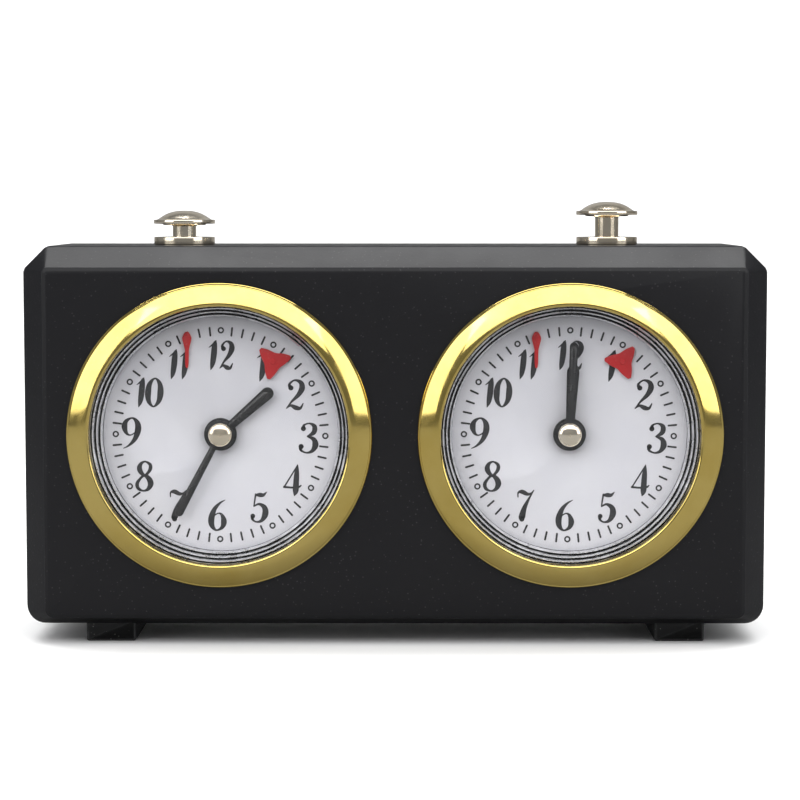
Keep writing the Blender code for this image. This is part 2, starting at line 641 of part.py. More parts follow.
# ---------------------------------------------------------------- going train
def arbor_with_pivots(name, radius=ARBOR_RADIUS):
    """A steel arbor between the plates, with a fine pivot at each end."""
    front, back = PLATE_GAP_FRONT + PIECE_GAP, BACK_PLATE - PIECE_GAP
    ends = (FRONT_PLATE, BACK_PLATE_REAR)
    profile = [(0, ends[0]), (PIVOT_TIP, ends[0]), (PIVOT_TIP, front), (radius, front)]
    profile += [(radius, back), (PIVOT_TIP, back), (PIVOT_TIP, ends[1]), (0, ends[1])]
    return turned(name, profile, 8)


def great_wheel():
    """The spring barrel with its toothed rim, free on the winding arbor."""
    bore = WINDING_ARBOR_RADIUS + RUNNING_GAP
    inner = DRUM_RADIUS - DRUM_WALL
    back = GREAT_WHEEL_AT + 0.2
    profile = [(bore, DRUM_AT), (DRUM_RADIUS, DRUM_AT), (DRUM_RADIUS, back), (inner, back)]
    profile += [(inner, DRUM_AT + DRUM_WALL), (bore, DRUM_AT + DRUM_WALL)]
    drum = turned("great_wheel", profile, 20)
    toothed = wheel_outline(GREAT_TEETH, GREAT_MODULE, dial_angle(GREAT, CENTRE))
    rim = prism("rim", toothed, GREAT_WHEEL_AT, GREAT_WHEEL_AT + GREAT_WHEEL_THICKNESS)
    carve(rim, rod(bore, GREAT_WHEEL_AT - 1, GREAT_WHEEL_AT + 3))
    return fuse(drum, rim)


def mainspring():
    room = DRUM_RADIUS - DRUM_WALL - 0.9
    outline = spiral_outline(WINDING_ARBOR_RADIUS + 0.5, room, 3, 0.6, 36)
    return prism("mainspring", outline, DRUM_AT + DRUM_WALL + 0.6, GREAT_WHEEL_AT - 0.6)


def winding_key():
    """The winding arbor and the wing key on its end, outside the rear cover."""
    radius, back = WINDING_ARBOR_RADIUS, CASE_DEPTH + BACK_CLEARANCE
    end = CASE_DEPTH + KEY_PROUD
    profile = [(0, FRONT_PLATE), (PIVOT_TIP, FRONT_PLATE), (PIVOT_TIP, PLATE_GAP_FRONT + PIECE_GAP)]
    profile += [(radius, PLATE_GAP_FRONT + PIECE_GAP), (radius, back), (KEY_HUB_RADIUS, back)]
    profile += [(KEY_HUB_RADIUS, back + 2.2), (KEY_HUB_RADIUS - 0.8, back + 3), (0, back + 3)]
    arbor = turned("winding_key", profile, 12)
    lobe, half = (end - back) / 2, KEY_SPAN / 2
    wing = []
    for side in (1, -1):
        for k in range(7):
            x, y = polar(lobe, 30 * k)
            wing.append((side * (half - lobe + x), back + lobe + side * y))
    points = [(x, y, z) for z in (-KEY_THICKNESS / 2, KEY_THICKNESS / 2) for x, y in wing]
    count = len(wing)
    faces = [tuple(range(count)), tuple(range(count, 2 * count))]
    faces += [(k, (k + 1) % count, (k + 1) % count + count, k + count) for k in range(count)]
    return fuse(arbor, solid("wing", points, faces))


def centre_wheel():
    """The centre wheel and its pinion on one pipe, which grips the setting arbor by friction."""
    toothed = wheel_outline(CENTRE_TEETH, CENTRE_MODULE, dial_angle(CENTRE, THIRD))
    wheel = prism("centre_wheel", toothed, CENTRE_WHEEL_AT, CENTRE_WHEEL_AT + WHEEL_THICKNESS)
    leaves = pinion_outline(CENTRE_LEAVES, GREAT_MODULE, dial_angle(CENTRE, GREAT))
    tube = SETTING_ARBOR_RADIUS + RUNNING_GAP + 0.6
    fuse(wheel, rod(tube, PLATE_GAP_FRONT + PIECE_GAP, BACK_PLATE - PIECE_GAP))
    fuse(wheel, prism("leaves", leaves, GREAT_WHEEL_AT - 0.4, GREAT_WHEEL_AT + GREAT_WHEEL_THICKNESS + 0.4))
    return carve(wheel, rod(SETTING_ARBOR_RADIUS + RUNNING_GAP, FRONT_PLATE, BACK_PLATE_REAR))


def third_wheel():
    arbor = arbor_with_pivots("third_wheel")
    leaves = pinion_outline(THIRD_LEAVES, CENTRE_MODULE, dial_angle(THIRD, CENTRE))
    fuse(arbor, prism("leaves", leaves, CENTRE_WHEEL_AT - 0.3, CENTRE_WHEEL_AT + WHEEL_THICKNESS + 0.3))
    toothed = wheel_outline(THIRD_TEETH, THIRD_MODULE, dial_angle(THIRD, ESCAPE))
    return fuse(arbor, prism("toothed", toothed, THIRD_WHEEL_AT, THIRD_WHEEL_AT + WHEEL_THICKNESS))


def escape_wheel():
    """The escape wheel, whose arbor runs on through the dial to carry the tick rotor."""
    arbor = arbor_with_pivots("escape_wheel")
    fuse(arbor, rod(PIVOT_TIP, ROTOR_FRONT + 0.05, PLATE_GAP_FRONT + 1, sides=8))
    leaves = pinion_outline(ESCAPE_LEAVES, THIRD_MODULE, dial_angle(ESCAPE, THIRD))
    fuse(arbor, prism("leaves", leaves, THIRD_WHEEL_AT - 0.3, THIRD_WHEEL_AT + WHEEL_THICKNESS + 0.3))
    toothed = []
    for k in range(ESCAPE_TEETH):
        pitch = 360 / ESCAPE_TEETH
        toothed += [polar(0.74 * ESCAPE_RADIUS, k * pitch), polar(ESCAPE_RADIUS, (k + 0.62) * pitch)]
        toothed.append(polar(ESCAPE_RADIUS, (k + 0.74) * pitch))
    return fuse(arbor, prism("toothed", toothed, ESCAPE_WHEEL_AT, ESCAPE_WHEEL_AT + 0.7))


def pallet_lever():
    """The pin-pallet lever: an anchor with two pins by the escape wheel, and a fork towards the balance."""
    arbor = arbor_with_pivots("pallet_lever", 0.6)
    start, end = PALLET_AT, PALLET_AT + 0.6
    reach = ESCAPE_RADIUS + 0.95
    pins = []
    for span in (-36, 36):
        x, z = polar(reach, PALLET_TURN + span)
        pins.append((ESCAPE[0] + x - PALLET[0], ESCAPE[1] + z - PALLET[1]))
    fork = math.dist(PALLET, BALANCE) - 1.9
    axis = PALLET_TURN

    def across(distance, offset):
        x, z = polar(distance, axis)
        side_x, side_z = polar(offset, axis + 90)
        return x + side_x, z + side_z

    lever = [across(-1.1, -1.1), pins[0], across(0.6, -1.2), across(fork - 2, -0.35), across(fork, -0.9)]
    lever += [across(fork, -0.45), across(fork - 1.2, 0), across(fork, 0.45), across(fork, 0.9)]
    lever += [across(fork - 2, 0.35), across(0.6, 1.2), pins[1], across(-1.1, 1.1)]
    fuse(arbor, prism("lever", lever, start, end))
    return fuse(arbor, *[rod(0.35, start - 0.7, end + 0.4, x, z, 8) for x, z in pins])


def balance_wheel():
    arbor = arbor_with_pivots("balance_wheel", 0.5)
    inner = BALANCE_RADIUS - 1.2
    rim_back = BALANCE_AT + BALANCE_RIM
    outer = BALANCE_RADIUS
    profile = [(inner, BALANCE_AT), (outer, BALANCE_AT), (outer, rim_back), (inner, rim_back)]
    rim = turned("rim", profile, 20)
    arm = block(-inner - 0.3, inner + 0.3, BALANCE_AT + 0.3, rim_back - 0.3, -0.7, 0.7)
    fuse(arbor, rod(1.5, BALANCE_AT - 0.4, rim_back + 0.2), arm, rim)
    return arbor


def hairspring():
    outline = spiral_outline(0.95, 5.2, 3, 0.3, 36)
    return prism("hairspring", outline, HAIRSPRING_AT, HAIRSPRING_AT + 0.7)


# ---------------------------------------------------------------- movement frame
def plate_outline():
    left, right, low, high, cut = PLATE_LEFT, PLATE_RIGHT, PLATE_BOTTOM, PLATE_TOP, 2.5
    outline = [(left + cut, low), (right - cut, low), (right, low + cut), (right, high - cut)]
    return outline + [(right - cut, high), (left + cut, high), (left, high - cut), (left, low + cut)]


def pivot_holes(start, end):
    places = (THIRD, ESCAPE, PALLET, BALANCE)
    return [rod(PIVOT_HOLE, start, end, *place, 8) for place in places]


def front_plate():
    """The plate behind the dial, with the stud that the motion wheel turns on."""
    start, end = FRONT_PLATE, PLATE_GAP_FRONT
    plate = prism("front_plate", plate_outline(), start, end)
    centre = rod(SETTING_ARBOR_RADIUS + RUNNING_GAP, start - 1, end + 1)
    carve(plate, *pivot_holes(start - 1, end + 1), rod(PIVOT_HOLE, start - 1, end + 1, *GREAT, 8), centre)
    return fuse(plate, rod(STUD_RADIUS, HOUR_WHEEL_AT - 0.6, start + 0.5, *MOTION, 8))


def back_plate():
    """The rear plate with the four pillars that space it from the front one."""
    start, end = BACK_PLATE, BACK_PLATE_REAR
    plate = prism("back_plate", plate_outline(), start, end)
    centre = rod(SETTING_ARBOR_RADIUS + RUNNING_GAP, start - 1, end + 1)
    winding = rod(WINDING_ARBOR_RADIUS + RUNNING_GAP, start - 1, end + 1, *GREAT)
    carve(plate, *pivot_holes(start - 1, end + 1), winding, centre)
    pillar_start = PLATE_GAP_FRONT + PIECE_GAP
    return fuse(plate, *[rod(PILLAR_RADIUS, pillar_start, start + 0.5, x, z, 8) for x, z in PILLARS])


# ---------------------------------------------------------------- materials
def material(name, colour, roughness, metallic=0.0):
    made = bpy.data.materials.new(name)
    made.use_nodes = True
    shader = made.node_tree.nodes["Principled BSDF"]
    shader.inputs["Base Color"].default_value = (*colour, 1.0)
    shader.inputs["Roughness"].default_value = roughness
    shader.inputs["Metallic"].default_value = metallic
    return made


def make_materials():
    return {
        "case": material("black_plastic", (0.018, 0.018, 0.02), 0.45),
        "gold": material("gold_plate", (0.86, 0.72, 0.28), 0.12, 1.0),
        "cap": material("pale_gold_plate", (0.85, 0.74, 0.5), 0.2, 1.0),
        "crystal": material("clear_acrylic", (0.95, 0.96, 0.97), 0.03),
        "silver": material("satin_silver", (0.8, 0.8, 0.8), 0.3, 1.0),
        "dial": material("dial_paint", (0.66, 0.66, 0.71), 0.5),
        "black": material("hand_enamel", (0.01, 0.01, 0.01), 0.3),
        "red": material("signal_red", (0.6, 0.02, 0.025), 0.4),
        "rubber": material("foot_rubber", (0.012, 0.012, 0.012), 0.7),
        "brass": material("movement_brass", (0.7, 0.55, 0.25), 0.3, 1.0),
        "steel": material("steel", (0.55, 0.55, 0.56), 0.3, 1.0),
        "spring": material("blued_steel", (0.1, 0.12, 0.25), 0.3, 1.0),
        "zinc": material("zinc_screw", (0.6, 0.6, 0.6), 0.35, 1.0),
    }


# ---------------------------------------------------------------- assembly
def empty(name, x, y, z):
    made = bpy.data.objects.new(name, None)
    bpy.context.scene.collection.objects.link(made)
    made.location = (x * MM, y * MM, z * MM)
    return made


def place(name, pattern, finish, parent, x=0.0, z=0.0, angle=0.0, depth=0.0):
    """One node: a copy of a pattern's mesh at its axis, turned clockwise by a dial angle."""
    piece = bpy.data.objects.new(name, pattern.data)
    bpy.context.scene.collection.objects.link(piece)
    piece.data.materials.clear()
    piece.data.materials.append(finish)
    piece.data.shade_smooth()
    piece.data.set_sharp_from_angle(angle=math.radians(32))
    piece.parent = parent
    piece.location = (x * MM, depth * MM, z * MM)
    piece.rotation_euler = (0, math.radians(angle), 0)
    return piece


def make_patterns():
    """Each distinct shape once, with its material's name and its axis in the movement."""
    return {
        "bezel": (bezel(), "gold", CENTRE),
        "crystal": (crystal(), "crystal", CENTRE),
        "reflector_ring": (reflector(), "silver", CENTRE),
        "dial": (dial(), "dial", CENTRE),
        "minute_hand": (minute_hand(), "black", CENTRE),
        "hour_hand": (hour_hand(), "black", CENTRE),
        "hand_cap": (hand_cap(), "cap", CENTRE),
        "flag": (flag(), "red", FLAG),
        "tick_rotor": (tick_rotor(), "red", ESCAPE),
        "front_plate": (front_plate(), "brass", CENTRE),
        "back_plate": (back_plate(), "brass", CENTRE),
        "great_wheel": (great_wheel(), "brass", GREAT),
        "mainspring": (mainspring(), "spring", GREAT),
        "winding_key": (winding_key(), "steel", GREAT),
        "setting_arbor": (setting_arbor(), "steel", CENTRE),
        "centre_wheel": (centre_wheel(), "brass", CENTRE),
        "motion_wheel": (motion_wheel(), "brass", MOTION),
        "hour_wheel": (hour_wheel(), "brass", CENTRE),
        "third_wheel": (third_wheel(), "brass", THIRD),
        "escape_wheel": (escape_wheel(), "steel", ESCAPE),
        "pallet_lever": (pallet_lever(), "steel", PALLET),
        "balance_wheel": (balance_wheel(), "brass", BALANCE),
        "hairspring": (hairspring(), "spring", BALANCE),
    }


def build():
    for obj in list(bpy.data.objects):
        bpy.data.objects.remove(obj)
    finishes = make_materials()
    case = empty("case_frame", 0, FRONT_Y, 0)
    shared = {
        "front_case": (front_shell(), "case"),
        "rear_case": (rear_shell(), "case"),
    }
    for name, (pattern, finish) in shared.items():
        pattern.name = name + "_pattern"
        place(name, pattern, finishes[finish], case)
        bpy.data.objects.remove(pattern)

    patterns = [foot(), button(), collar(), case_screw(), rocker(), rocker_pin()]
    foot_shape, button_shape, collar_shape, screw_shape, rocker_shape, pin_shape = patterns
    place("rocker", rocker_shape, finishes["steel"], case, 0, ROCKER_Z, -ROCKER_TILT)
    place("rocker_pin", pin_shape, finishes["steel"], case, 0, ROCKER_Z)
    for side, word in ((-1, "left"), (1, "right")):
        button_x, lift = side * BUTTON_SPACING / 2, side * BUTTON_TRAVEL / 2
        place(f"{word}_foot", foot_shape, finishes["rubber"], case, side * FOOT_X)
        cap = finishes["cap"]
        place(f"{word}_button", button_shape, cap, case, button_x, CASE_TOP + lift, 0, BUTTON_DEPTH)
        place(f"{word}_button_collar", collar_shape, cap, case, button_x, CASE_TOP, 0, BUTTON_DEPTH)
        for level, z in zip(("lower", "upper"), SCREW_ZS):
            place(f"{level}_{word}_screw", screw_shape, finishes["zinc"], case, side * SCREW_X, z)

    rest_angles = {
        "left": {
            "minute_hand": LEFT_MINUTE_ANGLE, "hour_hand": LEFT_HOUR_ANGLE, "tick_rotor": LEFT_ROTOR_ANGLE,
        },
        "right": {
            "minute_hand": RIGHT_MINUTE_ANGLE, "hour_hand": RIGHT_HOUR_ANGLE, "tick_rotor": RIGHT_ROTOR_ANGLE,
        },
    }
    movement = make_patterns()
    for side, word in ((-1, "left"), (1, "right")):
        centre = empty(f"{word}_movement", side * DIAL_SPACING / 2, FRONT_Y, DIAL_HEIGHT)
        for name, (pattern, finish, (x, z)) in movement.items():
            angle = rest_angles[word].get(name, 0.0)
            place(f"{word}_{name}", pattern, finishes[finish], centre, x, z, angle)
    for pattern, _, _ in movement.values():
        bpy.data.objects.remove(pattern)
    for pattern in patterns:
        bpy.data.objects.remove(pattern)
    bpy.context.view_layer.update()


build()
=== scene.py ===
"""The looks of a wind-up chess clock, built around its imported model.

Lengths are in millimetres unless a name says otherwise, and MM turns them into the frame's metres. On a dial,
angles are in degrees clockwise from twelve, and a depth is a distance behind the case's front face.
"""

import json
import math

import bmesh
import bpy
from mathutils import Matrix, Vector


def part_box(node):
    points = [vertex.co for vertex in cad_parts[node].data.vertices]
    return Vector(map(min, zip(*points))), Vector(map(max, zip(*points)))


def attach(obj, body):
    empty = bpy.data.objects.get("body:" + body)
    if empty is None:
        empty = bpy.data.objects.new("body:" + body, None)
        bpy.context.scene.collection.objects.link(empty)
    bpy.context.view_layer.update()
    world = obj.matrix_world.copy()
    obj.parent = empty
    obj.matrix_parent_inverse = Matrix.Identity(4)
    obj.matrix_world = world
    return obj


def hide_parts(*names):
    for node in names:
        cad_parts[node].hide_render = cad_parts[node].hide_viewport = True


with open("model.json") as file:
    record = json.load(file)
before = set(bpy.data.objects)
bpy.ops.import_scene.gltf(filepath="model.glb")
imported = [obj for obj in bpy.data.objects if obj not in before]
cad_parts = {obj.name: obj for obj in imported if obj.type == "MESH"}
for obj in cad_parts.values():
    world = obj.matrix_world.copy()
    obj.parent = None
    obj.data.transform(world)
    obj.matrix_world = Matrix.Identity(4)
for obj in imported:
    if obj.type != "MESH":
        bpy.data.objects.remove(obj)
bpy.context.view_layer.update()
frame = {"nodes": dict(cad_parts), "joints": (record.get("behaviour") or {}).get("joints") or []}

MM = 0.001

# ---------------------------------------------------------------- sizes of the visible detail
LATHE_STEPS = 144
CASE_EDGE = 0.45
SIDE_BEVEL = 5.0
TOP_BEVEL = 4.7
BOTTOM_BEVEL = 2.1
BEVEL_DEPTH = 5.6
TOP_CHAMFER = 4.9
BOTTOM_RADIUS = 4.0
FACE_CORNER_RADIUS = 1.6
REAR_BEVEL = 1.6
REAR_EDGE = 0.25
JOINT_EDGE = 0.3
SHELL_WALL = 2.2
BEZEL_SKIRT_HOLE = 28.75
BUTTON_COLLAR_HOLE = 4.1
SCREW_HEAD_RADIUS = 2.7
STEM_RADIUS = 2.55
BEZEL_OPENING = 27.0
REFLECTOR_OPENING = 24.6
REFLECTOR_STEPS = 3
REFLECTOR_GROOVE = 0.26

NUMERAL_HEIGHT = 6.5
NUMERAL_WEIGHT = 1.18
NUMERAL_REACH = 20.15
NUMERAL_SLANT = 0.06
DIGIT_PITCH = 0.46
TRACK_RADIUS = 22.0
TICK_INNER = 21.0
TICK_OUTER = 22.6
TICK_WIDTH = 0.4
HOUR_RING_RADIUS = 0.68
HOUR_RING_LINE = 0.34
INK_THICKNESS = 0.03
PRINT_SHIFT = (-0.08, -0.26)
PRINT_TURN = 0.5
NUMERAL_SHIFT = (-0.2, -0.1)
NUMERAL_TURN = 1.1
PAIR_SHIFT = -0.35
PAIR_SIZE = 0.95

HAND_SIZES = {"hour": (3.45, 1.9, 2.6), "minute": (3.0, 1.35, 1.8)}
HAND_RIDGE = 0.14
FINE_RELIEF = 0.00002

CAMERA_AT = (3.3, -531.3, 92.4)
CAMERA_AIM = (1.07, -23.9, 51.9)
CAMERA_LENS = 110.1


# ---------------------------------------------------------------- places read from the frame
def low(node):
    return Vector(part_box(node)[0])


def high(node):
    return Vector(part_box(node)[1])


def middle(node):
    return (low(node) + high(node)) / 2


CASE_FRONT_Y = low("front_case").y


def dial_point(side, depth=0.0):
    """The middle of a side's dial, at this depth behind the case's front face."""
    centre = middle(f"{side}_bezel")
    return Vector((centre.x, CASE_FRONT_Y + depth * MM, centre.z))


def joint_point(name):
    """Where a joint's axis crosses the case's front face."""
    x, _, z = next(joint for joint in frame["joints"] if joint["name"] == name)["pos_m"]
    return Vector((x, CASE_FRONT_Y, z))


def depths(name):
    """A node's front and back, in millimetres behind the case's front face."""
    return (low(name).y - CASE_FRONT_Y) / MM, (high(name).y - CASE_FRONT_Y) / MM


def half_width(name):
    return (high(name).x - low(name).x) / 2 / MM


def farthest(name, centre):
    """From a centre to the farthest vertex of a CAD node, as (x, z) in metres."""
    offsets = ((v.co.x - centre.x, v.co.z - centre.z) for v in frame["nodes"][name].data.vertices)
    return max(offsets, key=lambda offset: math.hypot(*offset))


# ---------------------------------------------------------------- mesh tools
def polar(radius, angle):
    turn = math.radians(angle)
    return radius * math.sin(turn), radius * math.cos(turn)


def eased(points, radius, steps=3, closed=True, sharpest=170):
    """The same outline with each corner turned into a small curve."""
    soft = []
    count = len(points)
    for k, point in enumerate(points):
        corner = Vector(point)
        if not closed and k in (0, count - 1):
            soft.append(tuple(corner))
            continue
        before, after = Vector(points[k - 1]) - corner, Vector(points[(k + 1) % count]) - corner
        if before.length == 0 or after.length == 0 or math.degrees(before.angle(after)) > sharpest:
            soft.append(tuple(corner))
            continue
        start = corner + before.normalized() * min(radius, before.length * 0.45)
        end = corner + after.normalized() * min(radius, after.length * 0.45)
        for n in range(steps + 1):
            t = n / steps
            soft.append(tuple(start * (1 - t) ** 2 + corner * 2 * t * (1 - t) + end * t**2))
    return soft


def finished(name, bm, finish, body, node=None, sharp=35.0):
    """A mesh piece from a bmesh in millimetres about the origin, ready to ride on its body."""
    bmesh.ops.remove_doubles(bm, verts=bm.verts, dist=1e-5)
    bmesh.ops.recalc_face_normals(bm, faces=bm.faces)
    bmesh.ops.scale(bm, vec=(MM, MM, MM), verts=bm.verts)
    mesh = bpy.data.meshes.new(name)
    bm.to_mesh(mesh)
    bm.free()
    mesh.materials.append(finish)
    mesh.shade_smooth()
    mesh.set_sharp_from_angle(angle=math.radians(sharp))
    piece = bpy.data.objects.new(name, mesh)
    bpy.context.scene.collection.objects.link(piece)
    if body:
        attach(piece, body)
    if node:
        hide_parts(*([node] if isinstance(node, str) else node))
    return piece


def lathe(bm, profile, upright=False, steps=LATHE_STEPS, centre=(0, 0, 0)):
    """Adds a turned solid: a profile of (radius, place) about the depth axis, or about the vertical one."""
    on_axis = abs(profile[0][0]) < 1e-6
    rings = []
    cx, cy, cz = centre
    for radius, place in profile:
        ring = []
        for k in range(1 if abs(radius) < 1e-6 else steps):
            x, other = polar(radius, 360 * k / steps)
            spot = (cx + x, cy + other, cz + place) if upright else (cx + x, cy + place, cz + other)
            ring.append(bm.verts.new(spot))
        rings.append(ring)
    for n in range(len(rings) - 1 if on_axis else len(rings)):
        first, second = rings[n], rings[(n + 1) % len(rings)]
        for k in range(steps):
            j = (k + 1) % steps
            corners = [row[m % len(row)] for row, m in ((first, k), (first, j), (second, j), (second, k))]
            corners = list(dict.fromkeys(corners))
            if len(corners) > 2:
                bm.faces.new(corners)
    return bm


def loft(bm, sections):
    """Adds a solid through sections of as many points each: (depth, [(x, z), ...])."""
    rows = [[bm.verts.new((x, depth, z)) for x, z in outline] for depth, outline in sections]
    count = len(rows[0])
    bm.faces.new(rows[0])
    bm.faces.new(rows[-1])
    for first, second in zip(rows, rows[1:]):
        for k in range(count):
            j = (k + 1) % count
            bm.faces.new((first[k], first[j], second[j], second[k]))
    return bm


def bevelled(bm, outline, front, back, edge, steps=3):
    """Adds a flat piece whose front and back edges are rounded by insetting its outline."""
    def inset(amount):
        count, moved = len(outline), []
        for k in range(count):
            here = Vector(outline[k])
            ahead, behind = Vector(outline[(k + 1) % count]) - here, here - Vector(outline[k - 1])
            normal = (behind.normalized() + ahead.normalized()).orthogonal().normalized()
            lean = max(0.5, abs(normal.dot(ahead.normalized().orthogonal())))
            moved.append(tuple(here + normal * turn * amount / lean))
        return moved

    area = sum(a[0] * b[1] - b[0] * a[1] for a, b in zip([outline[-1]] + outline, outline))
    turn = 1 if area > 0 else -1
    sections = []
    for n in range(steps, -1, -1):
        angle = math.radians(90 * n / steps)
        sections.append((front + edge * (1 - math.sin(angle)), inset(edge * (1 - math.cos(angle)))))
    back_side = [(back - (depth - front), shape) for depth, shape in reversed(sections)]
    return loft(bm, sections + back_side)


def shifted(bm, x=0.0, y=0.0, z=0.0, turn=0.0):
    """Turns what a bmesh holds clockwise about the depth axis, then moves it."""
    if turn:
        bmesh.ops.rotate(bm, verts=bm.verts, matrix=Matrix.Rotation(math.radians(turn), 3, "Y"))
    bmesh.ops.translate(bm, verts=bm.verts, vec=(x, y, z))
    return bm


def laid_down(bm):
    """Swaps depth and height, for a shape drawn flat and used upright."""
    for vert in bm.verts:
        vert.co = vert.co.xzy
    bmesh.ops.recalc_face_normals(bm, faces=bm.faces)
    return bm


def joined(bm, other):
    """Adds the shape in another bmesh, which is used up."""
    mesh = bpy.data.meshes.new("joined")
    other.to_mesh(mesh)
    other.free()
    bm.from_mesh(mesh)
    bpy.data.meshes.remove(mesh)
    return bm


def at(bm, point, turn=0.0):
    return shifted(bm, *(c / MM for c in point), turn=turn)


def cut(piece, tools):
    """Takes closed cutter shapes out of a piece for good."""
    for bm in tools:
        bmesh.ops.recalc_face_normals(bm, faces=bm.faces)
        bmesh.ops.scale(bm, vec=(MM, MM, MM), verts=bm.verts)
        mesh = bpy.data.meshes.new("cutter")
        bm.to_mesh(mesh)
        bm.free()
        cutter = bpy.data.objects.new("cutter", mesh)
        bpy.context.scene.collection.objects.link(cutter)
        modifier = piece.modifiers.new("cut", "BOOLEAN")
        modifier.operation = "DIFFERENCE"
        modifier.object = cutter
        graph = bpy.context.evaluated_depsgraph_get()
        carved = bpy.data.meshes.new_from_object(piece.evaluated_get(graph))
        piece.modifiers.clear()
        piece.data = carved
        bpy.data.objects.remove(cutter)
    return piece


# ---------------------------------------------------------------- shader tools
def node(tree, kind, links=(), **values):
    """A shader node with its settings and input values; links gives sockets an output or a number."""
    made = tree.nodes.new("ShaderNode" + kind)
    for key, value in values.items():
        label = key.replace("_", " ")
        if label in made.inputs.keys():
            made.inputs[label].default_value = value
        else:
            setattr(made, key, value)
    for socket, source in dict(links).items():
        if isinstance(source, (int, float)):
            made.inputs[socket].default_value = source
        else:
            tree.links.new(source, made.inputs[socket])
    return made


def feed(tree, target, **sources):
    """Links outputs into the sockets of a node that have their names."""
    for key, source in sources.items():
        tree.links.new(source, target.inputs[key.replace("_", " ")])


def calc(tree, operation, first, second, **settings):
    """One step of arithmetic on numbers or outputs."""
    return node(tree, "Math", {0: first, 1: second}, operation=operation, **settings).outputs[0]


def vector_calc(tree, operation, first, second):
    return node(tree, "VectorMath", {0: first, 1: second}, operation=operation).outputs


def noise(tree, where, scale, **values):
    return node(tree, "TexNoise", {"Vector": where, "Scale": scale}, **values).outputs["Fac"]


def portion(tree, source, start, end):
    """A number between start and end turned into one from 0 to 1."""
    return node(tree, "MapRange", {"Value": source}, From_Min=start, From_Max=end).outputs["Result"]


def span(tree, source, start, end):
    """A number from 0 to 1 turned into one from start to end."""
    return node(tree, "MapRange", {"Value": source}, To_Min=start, To_Max=end).outputs["Result"]


def effect(name, inputs, outputs):
    """An empty shader group: its tree, its inputs by name, its output node, and the place on the object."""
    tree = bpy.data.node_groups.new(name, "ShaderNodeTree")
    for label, default in inputs.items():
        kind = "NodeSocketVector" if isinstance(default, tuple) else "NodeSocketFloat"
        tree.interface.new_socket(label, in_out="INPUT", socket_type=kind).default_value = default
    for label in outputs:
        tree.interface.new_socket(label, in_out="OUTPUT", socket_type="NodeSocketFloat")
    where = node(tree, "TexCoord").outputs["Object"]
    return tree, tree.nodes.new("NodeGroupInput").outputs, tree.nodes.new("NodeGroupOutput"), where


def moulded_grain():
    """Fine spark-eroded grain with slow patches of shine. Out: height, shine from 0 to 1."""
    tree, given, out, where = effect(
        "moulded_grain", {"Grain Scale": 1800.0, "Patch Scale": 35.0}, ("Height", "Shine"))
    fine = noise(tree, where, given["Grain Scale"], Detail=3.0)
    pits = node(tree, "TexVoronoi", {"Vector": where, "Scale": given["Grain Scale"]}, Randomness=1.0)
    feed(tree, out, Height=calc(tree, "MULTIPLY", fine, pits.outputs["Distance"]),
         Shine=noise(tree, where, given["Patch Scale"], Detail=6.0, Roughness=0.6))
    return tree


def handling():
    """Smudges and dust from being picked up. Out: smudge and dust masks."""
    tree, given, out, where = effect(
        "handling", {"Smudge Scale": 60.0, "Smudge Amount": 0.5, "Dust Amount": 0.4}, ("Smudge", "Dust"))
    wide = noise(tree, where, given["Smudge Scale"], Detail=8.0, Roughness=0.65, Distortion=0.8)
    smudge = calc(tree, "MULTIPLY", portion(tree, wide, 0.48, 0.72), given["Smudge Amount"])
    specks = node(tree, "TexVoronoi", {"Vector": where}, Scale=900.0)
    near = calc(tree, "LESS_THAN", specks.outputs["Distance"], 0.13)
    patchy = calc(tree, "MULTIPLY", near, noise(tree, where, 120.0, Detail=2.0))
    feed(tree, out, Smudge=smudge, Dust=calc(tree, "MULTIPLY", patchy, given["Dust Amount"]))
    return tree


def edge_rub():
    """Where corners and edges have been rubbed. Out: mask."""
    tree, given, out, where = effect("edge_rub", {"Reach": 0.0004, "Break Up": 400.0}, ("Mask",))
    softened = node(tree, "Bevel", {"Radius": given["Reach"]}, samples=4).outputs[0]
    plain = node(tree, "NewGeometry").outputs["Normal"]
    turned = portion(tree, vector_calc(tree, "DOT_PRODUCT", softened, plain)["Value"], 0.995, 0.9)
    broken = noise(tree, where, given["Break Up"], Detail=4.0)
    feed(tree, out, Mask=calc(tree, "MULTIPLY", turned, broken))
    return tree


def turned_lines():
    """Fine lathe lines round a centre in the dial's plane. Out: height, and distance from the centre."""
    tree, given, out, where = effect(
        "turned_lines", {"Centre": (0, 0, 0), "Pitch Scale": 9000.0}, ("Height", "Radius"))
    apart = vector_calc(tree, "SUBTRACT", where, given["Centre"])[0]
    split = node(tree, "SeparateXYZ", {"Vector": apart}).outputs
    flat = node(tree, "CombineXYZ", {"X": split["X"], "Y": split["Z"]})
    radius = node(tree, "VectorMath", {0: flat.outputs[0]}, operation="LENGTH").outputs["Value"]
    lines = node(tree, "TexNoise", {"W": radius, "Scale": given["Pitch Scale"]}, noise_dimensions="1D",
                 Detail=3.0)
    feed(tree, out, Height=lines.outputs["Fac"], Radius=radius)
    return tree


def hairlines():
    """Short fine scratches and brushing along the width. Out: mask and height."""
    tree, given, out, where = effect("hairlines", {"Line Scale": 300.0, "Stretch": 40.0}, ("Mask", "Height"))
    longer = node(tree, "CombineXYZ", {"Z": given["Stretch"]}, X=1.0, Y=8.0).outputs[0]
    lines = noise(tree, vector_calc(tree, "MULTIPLY", where, longer)[0], given["Line Scale"], Detail=4.0)
    feed(tree, out, Mask=portion(tree, lines, 0.58, 0.7), Height=lines)
    return tree


EFFECTS = {made.name: made for made in (moulded_grain(), handling(), edge_rub(), turned_lines(), hairlines())}


